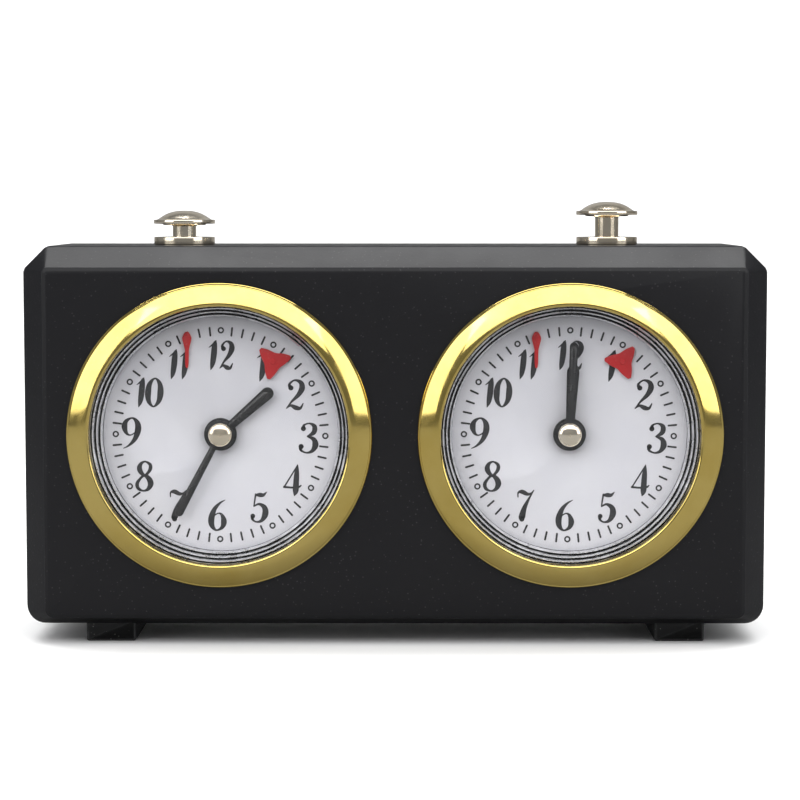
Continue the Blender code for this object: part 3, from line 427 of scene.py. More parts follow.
def use(tree, name, **values):
    """The outputs of a shared effect, put into a tree with these input values."""
    made = tree.nodes.new("ShaderNodeGroup")
    made.node_tree = EFFECTS[name]
    for key, value in values.items():
        made.inputs[key.replace("_", " ").title()].default_value = value
    return made.outputs


def blank(name, **shader_values):
    """A new material, its node tree, and its Principled shader with these plain values on its sockets."""
    made = bpy.data.materials.new(name)
    made.use_nodes = True
    tree = made.node_tree
    shader = tree.nodes["Principled BSDF"]
    for key, value in shader_values.items():
        shader.inputs[key.replace("_", " ")].default_value = value
    return made, tree, shader


def ramp(tree, source, stops):
    """A colour ramp through (place, colour) stops."""
    made = node(tree, "ValToRGB", {"Fac": source})
    elements = made.color_ramp.elements
    while len(elements) < len(stops):
        elements.new(0.5)
    for element, (place, colour) in zip(elements, stops):
        element.position = place
        element.color = (*colour, 1.0)
    return made.outputs["Color"]


def added(tree, first, second):
    return calc(tree, "ADD", first, second, use_clamp=True)


def bump(tree, shader, height, strength, distance):
    made = node(tree, "Bump", {"Height": height}, Strength=strength, Distance=distance)
    feed(tree, shader, Normal=made.outputs["Normal"])


def by_ray(tree, kind, usual, other, end):
    """Ends a tree in its usual shader, and in another one for a kind of ray."""
    path = node(tree, "LightPath")
    mixed = node(tree, "MixShader", {0: path.outputs[kind], 1: usual.outputs[0], 2: other.outputs[0]})
    feed(tree, tree.nodes[end], Surface=mixed.outputs[0])


def blend_colour(tree, mask, first, second):
    """A mix of two colours, each an RGB tuple or another node's output."""
    made = tree.nodes.new("ShaderNodeMix")
    made.data_type = "RGBA"
    tree.links.new(mask, made.inputs["Factor"])
    sockets = [s for s in made.inputs if s.type == "RGBA"]
    for socket, colour in zip(sockets, (first, second)):
        if isinstance(colour, tuple):
            socket.default_value = (*colour, 1.0)
        else:
            tree.links.new(colour, socket)
    return next(s for s in made.outputs if s.type == "RGBA")


# ---------------------------------------------------------------- materials
def plastic(name, colour, worn, roughness):
    made, tree, shader = blank(name, Specular_IOR_Level=0.22)
    surface = use(tree, "moulded_grain", grain_scale=1500.0, patch_scale=28.0)
    marks = use(tree, "handling", smudge_scale=45.0, smudge_amount=0.5, dust_amount=0.12)
    rub = use(tree, "edge_rub", reach=0.0005, break_up=500.0)
    aged = blend_colour(tree, rub["Mask"], colour, worn)
    shine = span(tree, surface["Shine"], roughness - 0.08, roughness + 0.08)
    feed(tree, shader, Base_Color=blend_colour(tree, marks["Dust"], aged, (0.3, 0.3, 0.3)),
         Roughness=added(tree, shine, span(tree, marks["Smudge"], 0.0, 0.15)))
    bump(tree, shader, surface["Height"], 0.35, 0.00004)
    return made


def metal(name, light, dark, roughness, lines=None, centre=(0, 0, 0), relief=0.15):
    """Plated or bare metal, with smudges, patches of tone and either lathe lines or brushing."""
    made, tree, shader = blank(name, Metallic=1.0)
    surface = use(tree, "moulded_grain", grain_scale=2600.0, patch_scale=70.0)
    marks = use(tree, "handling", smudge_scale=110.0, smudge_amount=0.7, dust_amount=0.25)
    tone = ramp(tree, surface["Shine"], [(0.35, dark), (0.62, light)])
    shine = span(tree, surface["Shine"], roughness * 0.7, roughness * 1.3)
    feed(tree, shader, Base_Color=blend_colour(tree, marks["Dust"], tone, (0.4, 0.38, 0.34)),
         Roughness=added(tree, shine, span(tree, marks["Smudge"], 0.0, 0.16)))
    if lines == "turned":
        height = use(tree, "turned_lines", centre=centre, pitch_scale=5000.0)["Height"]
    elif lines == "brushed":
        height = use(tree, "hairlines", line_scale=260.0, stretch=45.0)["Height"]
    else:
        height = surface["Height"]
    bump(tree, shader, height, relief, FINE_RELIEF)
    return made


def ring_silver(side, start, pitch, width):
    """Turned silver whose grooves, one every pitch inwards from the start, are painted near-black as shade.
    """
    made, tree, shader = blank(f"{side}_ring_silver", Metallic=1.0)
    surface = use(tree, "moulded_grain", grain_scale=2600.0, patch_scale=70.0)
    marks = use(tree, "handling", smudge_scale=110.0, smudge_amount=0.5, dust_amount=0.3)
    lines = use(tree, "turned_lines", centre=dial_point(side), pitch_scale=6000.0)
    stepped = calc(tree, "DIVIDE", calc(tree, "SUBTRACT", start, lines["Radius"]), pitch)
    within = node(tree, "Math", {0: stepped}, operation="FRACT").outputs[0]
    groove = calc(tree, "LESS_THAN", within, width)
    silver = ramp(tree, surface["Shine"], [(0.35, (0.74, 0.74, 0.76)), (0.62, (0.86, 0.86, 0.88))])
    # Painted shade: the grooves between the steps are coloured near-black (0.02), standing in for the shade
    # that falls in them.
    groove_painted_shade = blend_colour(tree, groove, silver, (0.02, 0.02, 0.022))
    feed(tree, shader, Base_Color=blend_colour(tree, marks["Dust"], groove_painted_shade, (0.4, 0.4, 0.4)),
         Roughness=added(tree, span(tree, surface["Shine"], 0.14, 0.26), marks["Smudge"]))
    bump(tree, shader, lines["Height"], 0.1, FINE_RELIEF)
    return made


def paint(name, colour, thin, roughness):
    made, tree, shader = blank(name)
    surface = use(tree, "moulded_grain", grain_scale=3200.0, patch_scale=90.0)
    marks = use(tree, "handling", smudge_scale=140.0, smudge_amount=0.25, dust_amount=0.2)
    tone = ramp(tree, surface["Shine"], [(0.3, thin), (0.65, colour)])
    feed(tree, shader, Base_Color=blend_colour(tree, marks["Dust"], tone, (0.45, 0.45, 0.45)),
         Roughness=span(tree, surface["Shine"], roughness - 0.07, roughness + 0.07))
    bump(tree, shader, surface["Height"], 0.1, FINE_RELIEF)
    return made


def clear_acrylic():
    """The crystal: clear, with faint wipe marks, and clear to the light that falls on the dial."""
    made, tree, shader = blank("clear_acrylic", IOR=1.35, Transmission_Weight=1.0,
                               Base_Color=(0.985, 0.99, 0.995, 1.0))
    marks = use(tree, "handling", smudge_scale=50.0, smudge_amount=0.35, dust_amount=0.2)
    lines = use(tree, "hairlines", line_scale=120.0, stretch=18.0)
    feed(tree, shader, Roughness=span(tree, marks["Smudge"], 0.0, 0.05))
    bump(tree, shader, lines["Mask"], 0.004, 0.00001)
    by_ray(tree, "Is Shadow Ray", shader, node(tree, "BsdfTransparent"), "Material Output")
    return made


def rubber():
    made, tree, shader = blank("foot_rubber", Specular_IOR_Level=0.35)
    surface = use(tree, "moulded_grain", grain_scale=1400.0, patch_scale=60.0)
    marks = use(tree, "handling", smudge_scale=160.0, smudge_amount=0.6, dust_amount=0.8)
    rub = use(tree, "edge_rub", reach=0.0006, break_up=700.0)
    aged = blend_colour(tree, rub["Mask"], (0.018, 0.018, 0.019), (0.07, 0.07, 0.07))
    feed(tree, shader, Base_Color=blend_colour(tree, marks["Dust"], aged, (0.3, 0.29, 0.27)),
         Roughness=span(tree, surface["Shine"], 0.62, 0.85))
    bump(tree, shader, surface["Height"], 0.5, 0.00005)
    return made


FINISH = {
    "case": plastic("case_plastic", (0.0075, 0.0075, 0.0088), (0.03, 0.03, 0.033), 0.36),
    "cap_gold": metal("button_gold", (0.97, 0.88, 0.72), (0.9, 0.78, 0.58), 0.12),
    "ink": paint("dial_ink", (0.012, 0.012, 0.014), (0.03, 0.03, 0.033), 0.45),
    "dial": paint("dial_paint", (0.67, 0.665, 0.7), (0.63, 0.625, 0.67), 0.5),
    "enamel": paint("hand_enamel", (0.008, 0.008, 0.009), (0.02, 0.02, 0.02), 0.22),
    "red": paint("signal_red", (0.46, 0.01, 0.012), (0.42, 0.01, 0.013), 0.4),
    "brass": metal("movement_brass", (0.78, 0.6, 0.28), (0.66, 0.48, 0.2), 0.26, "brushed"),
    "steel": metal("movement_steel", (0.62, 0.62, 0.63), (0.48, 0.48, 0.5), 0.26, "brushed"),
    "nickel": metal("key_nickel", (0.74, 0.73, 0.7), (0.62, 0.61, 0.58), 0.18),
    "blued": metal("spring_steel", (0.14, 0.17, 0.32), (0.08, 0.09, 0.2), 0.25, "brushed"),
    "zinc": metal("screw_zinc", (0.7, 0.7, 0.68), (0.55, 0.55, 0.56), 0.3),
    "crystal": clear_acrylic(),
    "rubber": rubber(),
}


# ---------------------------------------------------------------- case
def case_outline(side, top, bottom, chamfer, radius):
    """Both top corners cut at 45 degrees, both bottom corners round, as (x, z) in the frame's millimetres."""
    half = high("front_case").x / MM - side
    ceiling, floor = high("front_case").z / MM - top, low("front_case").z / MM + bottom
    right = []
    ease = min(0.5, chamfer / 3) if chamfer else 0.0
    if chamfer:
        for x, z, dx, dz in ((half - chamfer, ceiling, -ease, 0), (half, ceiling - chamfer, 0, -ease)):
            slope = ease / math.sqrt(2) * (1 if dx else -1)
            right += [(x + dx, z), (x + slope, z - slope)] if dx else [(x + slope, z - slope), (x, z + dz)]
    else:
        right += [(half - 0.6, ceiling), (half - 0.18, ceiling - 0.18)]
        right += [(half, ceiling - 0.6), (half, ceiling - 0.7)]
    for k in range(9):
        x, z = polar(radius, 90 + 90 * k / 8)
        right.append((half - radius + x, floor + radius + z))
    return right + [(-x, z) for x, z in reversed(right)]


def between(first, second, share):
    return [(a[0] + (b[0] - a[0]) * share, a[1] + (b[1] - a[1]) * share) for a, b in zip(first, second)]


def soft_sections(sections, ease):
    """Sections with each fold between them rounded off, for a loft."""
    soft = [sections[0]]
    for (d0, s0), (d1, s1), (d2, s2) in zip(sections, sections[1:], sections[2:]):
        near, far = ease / max(d1 - d0, ease * 2), ease / max(d2 - d1, ease * 2)
        start, end = between(s1, s0, near), between(s1, s2, far)
        before, after = d1 - (d1 - d0) * near, d1 + (d2 - d1) * far
        for n in range(4):
            t = n / 3
            pull = (1 - t) ** 2, 2 * t * (1 - t), t**2
            outline = [tuple(a * pull[0] + b * pull[1] + c * pull[2] for a, b, c in zip(p, q, r))
                       for p, q, r in zip(start, s1, end)]
            depth = before * pull[0] + d1 * pull[1] + after * pull[2]
            soft.append((depth, outline))
    return soft + [sections[-1]]


def in_frame(bm):
    """Moves a shape drawn by depth to the case's front face."""
    return shifted(bm, y=CASE_FRONT_Y / MM)


def hole(point, radius, start, end, steps=48):
    """A round cutter along the depth axis, through a point of the frame."""
    spot = point / MM
    profile = [(0, start), (radius, start), (radius, end), (0, end)]
    return in_frame(lathe(bmesh.new(), profile, centre=(spot.x, 0, spot.z), steps=steps))


def shell_outlines():
    """The case's outline in full, eased at the joint between the shells, and of the hollow inside."""
    ease, wall = JOINT_EDGE, SHELL_WALL
    return (case_outline(0, 0, 0, TOP_CHAMFER, BOTTOM_RADIUS),
            case_outline(ease, ease, ease, TOP_CHAMFER, BOTTOM_RADIUS - ease),
            case_outline(wall, wall, wall, TOP_CHAMFER - 1, BOTTOM_RADIUS - 1.1))


def shell(name, sections, tools):
    skin = in_frame(loft(bmesh.new(), sections))
    return cut(finished(f"{name}_shell", skin, FINISH["case"], "case", name, sharp=24.0), tools)


def front_case():
    back = depths("front_case")[1]
    lip, wall = CASE_EDGE, SHELL_WALL
    full, rim, inner = shell_outlines()
    face = case_outline(SIDE_BEVEL, TOP_BEVEL, BOTTOM_BEVEL, 0, FACE_CORNER_RADIUS)
    flat = case_outline(
        SIDE_BEVEL + lip, TOP_BEVEL + lip, BOTTOM_BEVEL + lip, 0, FACE_CORNER_RADIUS - lip / 2)
    inner_face = case_outline(SIDE_BEVEL + 1, TOP_BEVEL + 1, BOTTOM_BEVEL + wall, 0, FACE_CORNER_RADIUS)
    sections = [(0, flat), (lip * 0.3, between(face, flat, 0.35)), (lip, between(face, full, 0.06))]
    folded = [(lip + 0.01, between(face, full, 0.07)), (BEVEL_DEPTH, full), (back - 0.3, full)]
    sections += soft_sections(folded, 0.35) + [(back, rim)]
    tools = [in_frame(loft(bmesh.new(), [(wall, inner_face), (BEVEL_DEPTH + 1, inner), (back + 1, inner)]))]
    for side in ("left", "right"):
        tools.append(hole(dial_point(side), BEZEL_SKIRT_HOLE, -wall, 2 * wall, 144))
        collar = middle(f"{side}_button_collar") / MM
        profile = [(0, -3), (BUTTON_COLLAR_HOLE, -3), (BUTTON_COLLAR_HOLE, 2), (0, 2)]
        tools.append(lathe(bmesh.new(), profile, upright=True, steps=48,
                           centre=(collar.x, collar.y, high("front_case").z / MM)))
    return shell("front_case", sections, tools)


def arrow(spot, radius, start, end, depth, height):
    """A raised curved arrow on the back, by dial angles."""
    width, steps, head = 0.5, 20, 1.3
    outer, inner = [], []
    for k in range(steps + 1):
        angle = start + (end - start) * k / steps
        outer.append(polar(radius + width / 2, angle))
        inner.append(polar(radius - width / 2, angle))
    point = polar(radius, end + math.copysign(14, end - start))
    outline = outer + [polar(radius + head, end), point, polar(radius - head, end)] + inner[::-1]
    return shifted(loft(bmesh.new(), [(depth - 0.2, outline), (depth + height, outline)]), spot.x, 0, spot.z)


def rear_case():
    start, back = depths("rear_case")
    full, rim, inner = shell_outlines()
    turned_in, flat = (case_outline(inset, inset, inset, TOP_CHAMFER, BOTTOM_RADIUS - REAR_BEVEL / 2)
                       for inset in (REAR_BEVEL, REAR_BEVEL + REAR_EDGE))
    folded = [(start + 0.3, full), (back - REAR_BEVEL, full), (back - REAR_EDGE, turned_in), (back, flat)]
    sections = [(start, rim)] + soft_sections(folded, 0.3)
    tools = [in_frame(loft(bmesh.new(), [(start - 1, inner), (back - SHELL_WALL, inner)]))]
    for level in ("lower", "upper"):
        for side in ("left", "right"):
            spot = middle(f"{level}_{side}_screw")
            tools.append(hole(spot, 3.0, back - 2.6, back + 1))
            tools.append(hole(spot, 1.45, start - 1, back, 24))
    for side in ("left", "right"):
        for name, radius in ((f"{side}_winding_key_turn", 2.1), (f"{side}_centre_wheel_turn", 1.7)):
            spot = joint_point(name)
            tools.append(hole(spot, radius, start, back + 1))
            near, far = radius + 3.9, radius + 4.3
            ring = [(near, back - 0.35), (far, back - 0.35), (far, back + 1), (near, back + 1)]
            tools.append(in_frame(lathe(bmesh.new(), ring, centre=(spot.x / MM, 0, spot.z / MM), steps=96)))
    return shell("rear_case", sections, tools)


def back_arrows():
    """Raised arrows that show which way each key winds and each knob sets."""
    bm = bmesh.new()
    back = depths("rear_case")[1]
    for side in ("left", "right"):
        key = joint_point(f"{side}_winding_key_turn") / MM
        knob = joint_point(f"{side}_centre_wheel_turn") / MM
        for spot, radius, start, end in ((key, 10.6, -35, -115), (knob, 7.6, 35, -35)):
            joined(bm, arrow(spot, radius, start, end, back, 0.35))
    return finished("back_arrows", in_frame(bm), FINISH["case"], "case")


def foot(side):
    lower, upper = low(f"{side}_foot") / MM, high(f"{side}_foot") / MM
    half, centre = (upper.x - lower.x) / 2, (lower.x + upper.x) / 2
    outline = eased([(-half, 0), (half, 0), (half, upper.z), (-half, upper.z)], 0.5, 3)
    bm = shifted(bevelled(bmesh.new(), outline, lower.y, upper.y, 0.4), centre)
    piece = finished(f"{side}_foot_pad", bm, FINISH["rubber"], "case", f"{side}_foot")
    grooves = []
    for part in (0.2, 0.4, 0.6, 0.8):
        groove = bmesh.new()
        bmesh.ops.create_cube(groove, size=1.0)
        bmesh.ops.scale(groove, vec=(half * 1.7, 1.2, 0.8), verts=groove.verts)
        grooves.append(shifted(groove, centre, lower.y + (upper.y - lower.y) * part))
    return cut(piece, grooves)


def screw(level, side):
    name = f"{level}_{side}_screw"
    lower, upper = low(name) / MM, high(name) / MM
    x, z = (lower.x + upper.x) / 2, (lower.z + upper.z) / 2
    top, radius, shank = upper.y, SCREW_HEAD_RADIUS, 1.1
    profile = [(0, lower.y), (0.3, lower.y), (shank, lower.y + 1.2), (shank, top - 1.8)]
    profile += [(radius - 0.3, top - 1.8), (radius, top - 1.5), (radius, top - 0.8)]
    profile += [(radius - 0.35, top - 0.35), (radius - 1.1, top - 0.06), (0, top)]
    bm = lathe(bmesh.new(), profile, centre=(x, 0, z), steps=48)
    piece = finished(f"{name}_pan_head", bm, FINISH["zinc"], "case", name)
    wide, deep, thick = 1.55, 1.1, 0.28
    outline = [(-wide, top + 0.2), (wide, top + 0.2), (wide * 0.55, top - deep), (-wide * 0.55, top - deep)]
    wings = []
    for turn in (20, 110):
        wing = laid_down(loft(bmesh.new(), [(-thick, outline), (thick, outline)]))
        wings.append(shifted(wing, x, 0, z, turn=turn))
    return cut(piece, wings)


# ---------------------------------------------------------------- buttons
def button(side):
    """The mushroom button: a thin rim, a low dome, and a step under the cap round the stem."""
    name = f"{side}_button"
    lower, upper = low(name) / MM, high(name) / MM
    x, y = (lower.x + upper.x) / 2, (lower.y + upper.y) / 2
    radius, stem, top = (upper.x - lower.x) / 2, STEM_RADIUS, upper.z
    rim, dome = 0.92, radius - 0.85
    under = top - 1.95 - rim
    profile = [(0, lower.z), (stem - 0.4, lower.z), (stem, lower.z + 0.4), (stem, under - 0.5)]
    profile += [(stem + 0.2, under - 0.3), (stem + 0.6, under - 0.28)]
    profile += [(4.5, under - 0.26), (4.65, under - 0.12), (4.75, under + 0.02)]
    profile += [(radius - 0.16, under + 0.02), (radius - 0.04, under + 0.06), (radius, under + 0.16)]
    brim = under + rim
    profile += [(radius, brim - 0.16), (radius - 0.05, brim - 0.05), (radius - 0.18, brim)]
    profile += [(dome + 0.22, brim), (dome + 0.08, brim + 0.03)]
    rounds = 16
    for k in range(1, rounds + 1):
        share = 1 - k / rounds
        profile.append((dome * share, brim + (top - brim) * (1 - share**2.5)))
    bm = lathe(bmesh.new(), profile, upright=True, centre=(x, y, 0))
    return finished(f"{side}_push_button", bm, FINISH["cap_gold"], name, name)


def collar(side):
    name = f"{side}_button_collar"
    lower, upper = low(name) / MM, high(name) / MM
    x, y = (lower.x + upper.x) / 2, (lower.y + upper.y) / 2
    radius, bore, tube = (upper.x - lower.x) / 2, 2.8, 3.7
    seat, top = high("front_case").z / MM + 0.02, upper.z
    profile = [(bore, lower.z), (tube, lower.z), (tube, seat), (radius, seat), (radius, top)]
    profile += [(bore + 0.9, top), (bore + 0.7, top - 0.35), (bore, top - 0.35)]
    bm = lathe(bmesh.new(), eased(profile, 0.22, 3), upright=True, centre=(x, y, 0))
    return finished(f"{side}_collar_ring", bm, FINISH["cap_gold"], "case", name)


# ---------------------------------------------------------------- dial side
def bezel(side):
    """A gold ring: a fine step at its foot, a broad convex face and a turned-in lip over the crystal."""
    name = f"{side}_bezel"
    outer = half_width(name)
    crest, back = depths(name)
    opening, bore, skirt, seat = BEZEL_OPENING, 27.5, 28.45, -0.02
    profile = [(skirt, back), (skirt, seat), (outer - 0.1, seat), (outer, seat - 0.12), (outer, seat - 0.6)]
    profile += [(outer - 0.12, seat - 0.72), (outer - 0.35, seat - 0.74)]
    foot_depth, face = seat - 0.9, outer - 0.5 - opening - 0.5
    rise = foot_depth - crest
    for k in range(23):
        share = k / 22
        profile.append((outer - 0.5 - face * share, foot_depth - rise * (1 - (1 - share) ** 1.3)))
    profile += [(opening + 0.3, crest + 0.03), (opening + 0.12, crest + 0.14)]
    profile += [(opening + 0.02, crest + 0.34), (opening, crest + 0.5)]
    profile += [(opening, -1.15), (bore, -1.15), (bore, back)]
    bright, dull = (0.8, 0.62, 0.2), (0.72, 0.54, 0.15)
    gold = metal(f"{name}_gold", bright, dull, 0.09, "turned", dial_point(side), 0.03)
    bm = at(lathe(bmesh.new(), profile, steps=216), dial_point(side))
    return finished(f"{name}_ring", bm, gold, "case", name, sharp=28.0)


def crystal(side):
    """A thin crystal with a low dome, eased round its rim."""
    name = f"{side}_crystal"
    rim = half_width(name)
    front, back = depths(name)
    profile = [(0, back), (rim * 0.5, back), (rim, back), (rim, front + 0.3)]
    for k in range(1, 9):
        share = 1 - k / 8
        profile.append(((rim - 0.3) * share, front + 0.2 * share**2))
    bm = lathe(bmesh.new(), profile, steps=120)
    return finished(f"{name}_lens", at(bm, dial_point(side)), FINISH["crystal"], "case", name)


def stepped_ring(side):
    """The silver ring between the crystal and the dial, with fine steps down to the dial."""
    name = f"{side}_reflector_ring"
    rim = half_width(name)
    front, back = depths(name)
    inner, steps, groove, cut_in = REFLECTOR_OPENING, REFLECTOR_STEPS, REFLECTOR_GROOVE, 0.6
    tread, rise = (rim - 0.25 - inner) / steps, (back - 1.0 - front) / steps
    profile = [(rim, back), (rim, front + 0.3), (rim - 0.08, front + 0.2), (rim - 0.25, front + 0.2)]
    for k in range(steps):
        radius, depth = rim - 0.25 - k * tread, front + 0.2 + k * rise
        wall = radius - groove
        profile += [(radius, depth + cut_in), (wall, depth + cut_in), (wall, depth + 0.1)]
        profile += [(wall - 0.1, depth), (radius - 0.72 * tread, depth + 0.3 * rise)]
        profile.append((radius - tread, depth + rise))
    profile.append((inner, back))
    bm = lathe(bmesh.new(), eased(profile, 0.06, 2), steps=180)
    silver = ring_silver(side, (rim - 0.25 + 0.04) * MM, tread * MM, (groove + 0.08) / tread)
    bm = at(bm, dial_point(side))
    return finished(f"{side}_stepped_ring", bm, silver, "case", name, sharp=25.0)


def dial(side):
    """The painted dial with a soft edge, and holes for the hands, the rotor and the flag."""
    name = f"{side}_dial"
    radius = half_width(name)
    front = depths(name)[0]
    back = front + 0.6
    profile = [(2.3, back), (2.3, front + 0.08), (2.42, front), (radius - 0.1, front)]
    profile += [(radius, front + 0.1), (radius, back)]
    bm = at(lathe(bmesh.new(), profile, steps=120), dial_point(side))
    piece = finished(f"{name}_plate", bm, FINISH["dial"], "case", name)
    return cut(piece, [hole(joint_point(f"{side}_{joint}"), size, front - 1, back + 1, 32)
                       for joint, size in (("escape_wheel_turn", 0.8), ("flag_lift", 0.6))])


# ---------------------------------------------------------------- numerals and minute track
# Each stroke is a list of (x, y, width) on a digit one unit high, drawn as a smooth ribbon. "loop" closes it.
DIGITS = {
    "0": [("loop", [(0, 0.98, 0.05), (0.19, 0.8, 0.13), (0.24, 0.5, 0.18), (0.19, 0.2, 0.13),
                    (0, 0.02, 0.05), (-0.19, 0.2, 0.13), (-0.24, 0.5, 0.18), (-0.19, 0.8, 0.13)])],
    "1": [("line", [(0.09, 1.0, 0.02), (0.06, 0.93, 0.1), (0.04, 0.76, 0.16), (0.03, 0.46, 0.17),
                    (0.0, 0.18, 0.13), (-0.05, 0.0, 0.02)]),
          ("line", [(0.08, 0.98, 0.04), (-0.03, 0.86, 0.055), (-0.17, 0.76, 0.02)])],
    "2": [("line", [(-0.13, 0.72, 0.14), (-0.18, 0.84, 0.07), (-0.04, 0.97, 0.05), (0.14, 0.9, 0.12),
                    (0.19, 0.72, 0.16), (0.1, 0.5, 0.12), (-0.08, 0.28, 0.06), (-0.22, 0.06, 0.03)]),
          ("line", [(-0.22, 0.06, 0.03), (-0.1, 0.15, 0.07), (0.05, 0.08, 0.13), (0.18, 0.07, 0.08),
                    (0.25, 0.22, 0.03)])],
    "3": [("line", [(-0.15, 0.8, 0.14), (-0.13, 0.92, 0.06), (0.02, 0.97, 0.05), (0.16, 0.87, 0.13),
                    (0.15, 0.68, 0.13), (-0.02, 0.55, 0.04)]),
          ("line", [(-0.02, 0.55, 0.04), (0.16, 0.46, 0.12), (0.22, 0.27, 0.17), (0.14, 0.08, 0.1),
                    (-0.02, 0.02, 0.05), (-0.18, 0.1, 0.07), (-0.18, 0.22, 0.14)])],
    "4": [("line", [(0.12, 1.0, 0.03), (0.11, 0.75, 0.13), (0.11, 0.35, 0.16), (0.11, 0.14, 0.15),
                    (0.08, 0.0, 0.03)]),
          ("line", [(0.12, 0.99, 0.035), (-0.08, 0.62, 0.04), (-0.26, 0.29, 0.04)]),
          ("line", [(-0.27, 0.28, 0.06), (0.0, 0.26, 0.055), (0.2, 0.28, 0.06), (0.28, 0.34, 0.03)])],
    "5": [("line", [(-0.13, 0.9, 0.05), (0.0, 0.9, 0.12), (0.12, 0.9, 0.09), (0.22, 1.0, 0.02)]),
          ("line", [(-0.13, 0.92, 0.05), (-0.15, 0.72, 0.045), (-0.16, 0.53, 0.04)]),
          ("line", [(-0.16, 0.53, 0.04), (0.0, 0.6, 0.07), (0.18, 0.49, 0.14), (0.22, 0.28, 0.17),
                    (0.12, 0.07, 0.1), (-0.05, 0.02, 0.05), (-0.18, 0.1, 0.07), (-0.18, 0.21, 0.13)])],
    "6": [("line", [(0.2, 1.0, 0.02), (0.04, 0.9, 0.06), (-0.12, 0.7, 0.12), (-0.2, 0.42, 0.17),
                    (-0.18, 0.2, 0.15), (-0.08, 0.05, 0.08), (0.03, 0.02, 0.05), (0.17, 0.12, 0.11),
                    (0.21, 0.3, 0.16),
                    (0.14, 0.5, 0.09), (0.03, 0.57, 0.04), (-0.1, 0.5, 0.035), (-0.19, 0.36, 0.03)])],
    "7": [("line", [(-0.21, 0.76, 0.03), (-0.21, 0.9, 0.05), (-0.1, 0.93, 0.12), (0.05, 0.86, 0.1),
                    (0.16, 0.88, 0.05), (0.24, 0.98, 0.03)]),
          ("line", [(0.24, 0.98, 0.03), (0.12, 0.72, 0.06), (0.0, 0.4, 0.13), (-0.05, 0.12, 0.18),
                    (-0.05, 0.04, 0.14)])],
    "8": [("loop", [(0, 0.97, 0.05), (0.15, 0.88, 0.09), (0.17, 0.74, 0.1), (0.1, 0.6, 0.08),
                    (0, 0.52, 0.08), (-0.12, 0.63, 0.13), (-0.17, 0.77, 0.14), (-0.12, 0.91, 0.09)]),
          ("loop", [(0, 0.52, 0.08), (0.14, 0.42, 0.14), (0.21, 0.25, 0.16), (0.14, 0.08, 0.1),
                    (0, 0.02, 0.05), (-0.16, 0.09, 0.09), (-0.21, 0.25, 0.1), (-0.12, 0.42, 0.07)])],
}
DIGIT_WIDTH = {"2": 1.12, "3": 1.14, "7": 1.1, "8": 1.04, "9": 1.08}
DIGITS["9"] = [(kind, [(-x, 1 - y, width) for x, y, width in points]) for kind, points in DIGITS["6"]]


def smooth(points, closed, steps=7):
    """Points along a Catmull-Rom curve through the given ones."""
    count = len(points)
    curve = []
    for k in range(count if closed else count - 1):
        if closed:
            a, b, c, d = (Vector(points[(k + n) % count]) for n in (-1, 0, 1, 2))
        else:
            a, b, c, d = (Vector(points[min(max(k + n, 0), count - 1)]) for n in (-1, 0, 1, 2))
        for n in range(steps):
            t = n / steps
            square, cube = 2 * a - 5 * b + 4 * c - d, 3 * b - a - 3 * c + d
            curve.append(0.5 * (2 * b + (c - a) * t + square * t**2 + cube * t**3))
    if not closed:
        curve.append(Vector(points[-1]))
    return curve


def ribbon(bm, curve, closed, front, back):
    """A flat solid stroke along (x, z, width) points, with round ends."""
    count = len(curve)
    rows = []
    for k, point in enumerate(curve):
        ahead = curve[(k + 1) % count] if closed or k < count - 1 else point
        behind = curve[k - 1] if closed or k else point
        along = Vector((ahead.x - behind.x, ahead.y - behind.y)).normalized()
        across = Vector((-along.y, along.x)) * max(point.z, 0.01) / 2
        spots = [(point.x + across.x, point.y + across.y), (point.x - across.x, point.y - across.y)]
        rows.append([bm.verts.new((x, depth, z)) for depth in (front, back) for x, z in spots])
    for k in range(count if closed else count - 1):
        a, b = rows[k], rows[(k + 1) % count]
        for m, n in ((0, 1), (1, 3), (3, 2), (2, 0)):
            bm.faces.new((a[m], a[n], b[n], b[m]))
    if not closed:
        for row in (rows[0], rows[-1]):
            bm.faces.new((row[0], row[1], row[3], row[2]))
        for end in (curve[0], curve[-1]):
            if end.z > 0.12:
                round_end = [(0, front), (end.z / 2, front), (end.z / 2, back), (0, back)]
                lathe(bm, round_end, steps=20, centre=(end.x, 0, end.y))


def numeral(bm, text, x, z, front):
    """A number of one or two digits, centred on (x, z) in millimetres from the dial's middle."""
    pair = len(text) == 2
    size = NUMERAL_HEIGHT * (PAIR_SIZE if pair else 1.0)
    pitch = DIGIT_PITCH * (0.82 if text == "11" else 1.0)
    layer = 0.002
    for k, digit in enumerate(text):
        offset = (k - (len(text) - 1) / 2) * pitch
        wide = 0.88 if pair else DIGIT_WIDTH.get(digit, 1.0)
        for n, (kind, points) in enumerate(DIGITS[digit]):
            drawn = []
            for px, py, width in points:
                across = px * wide + offset + (py - 0.5) * NUMERAL_SLANT
                drawn.append((across * size, (py - 0.5) * size, width * NUMERAL_WEIGHT * size))
            moved = [Vector((x + px, z + pz, width)) for px, pz, width in smooth(drawn, kind == "loop")]
            ribbon(bm, moved, kind == "loop", front - n * layer, front + INK_THICKNESS)


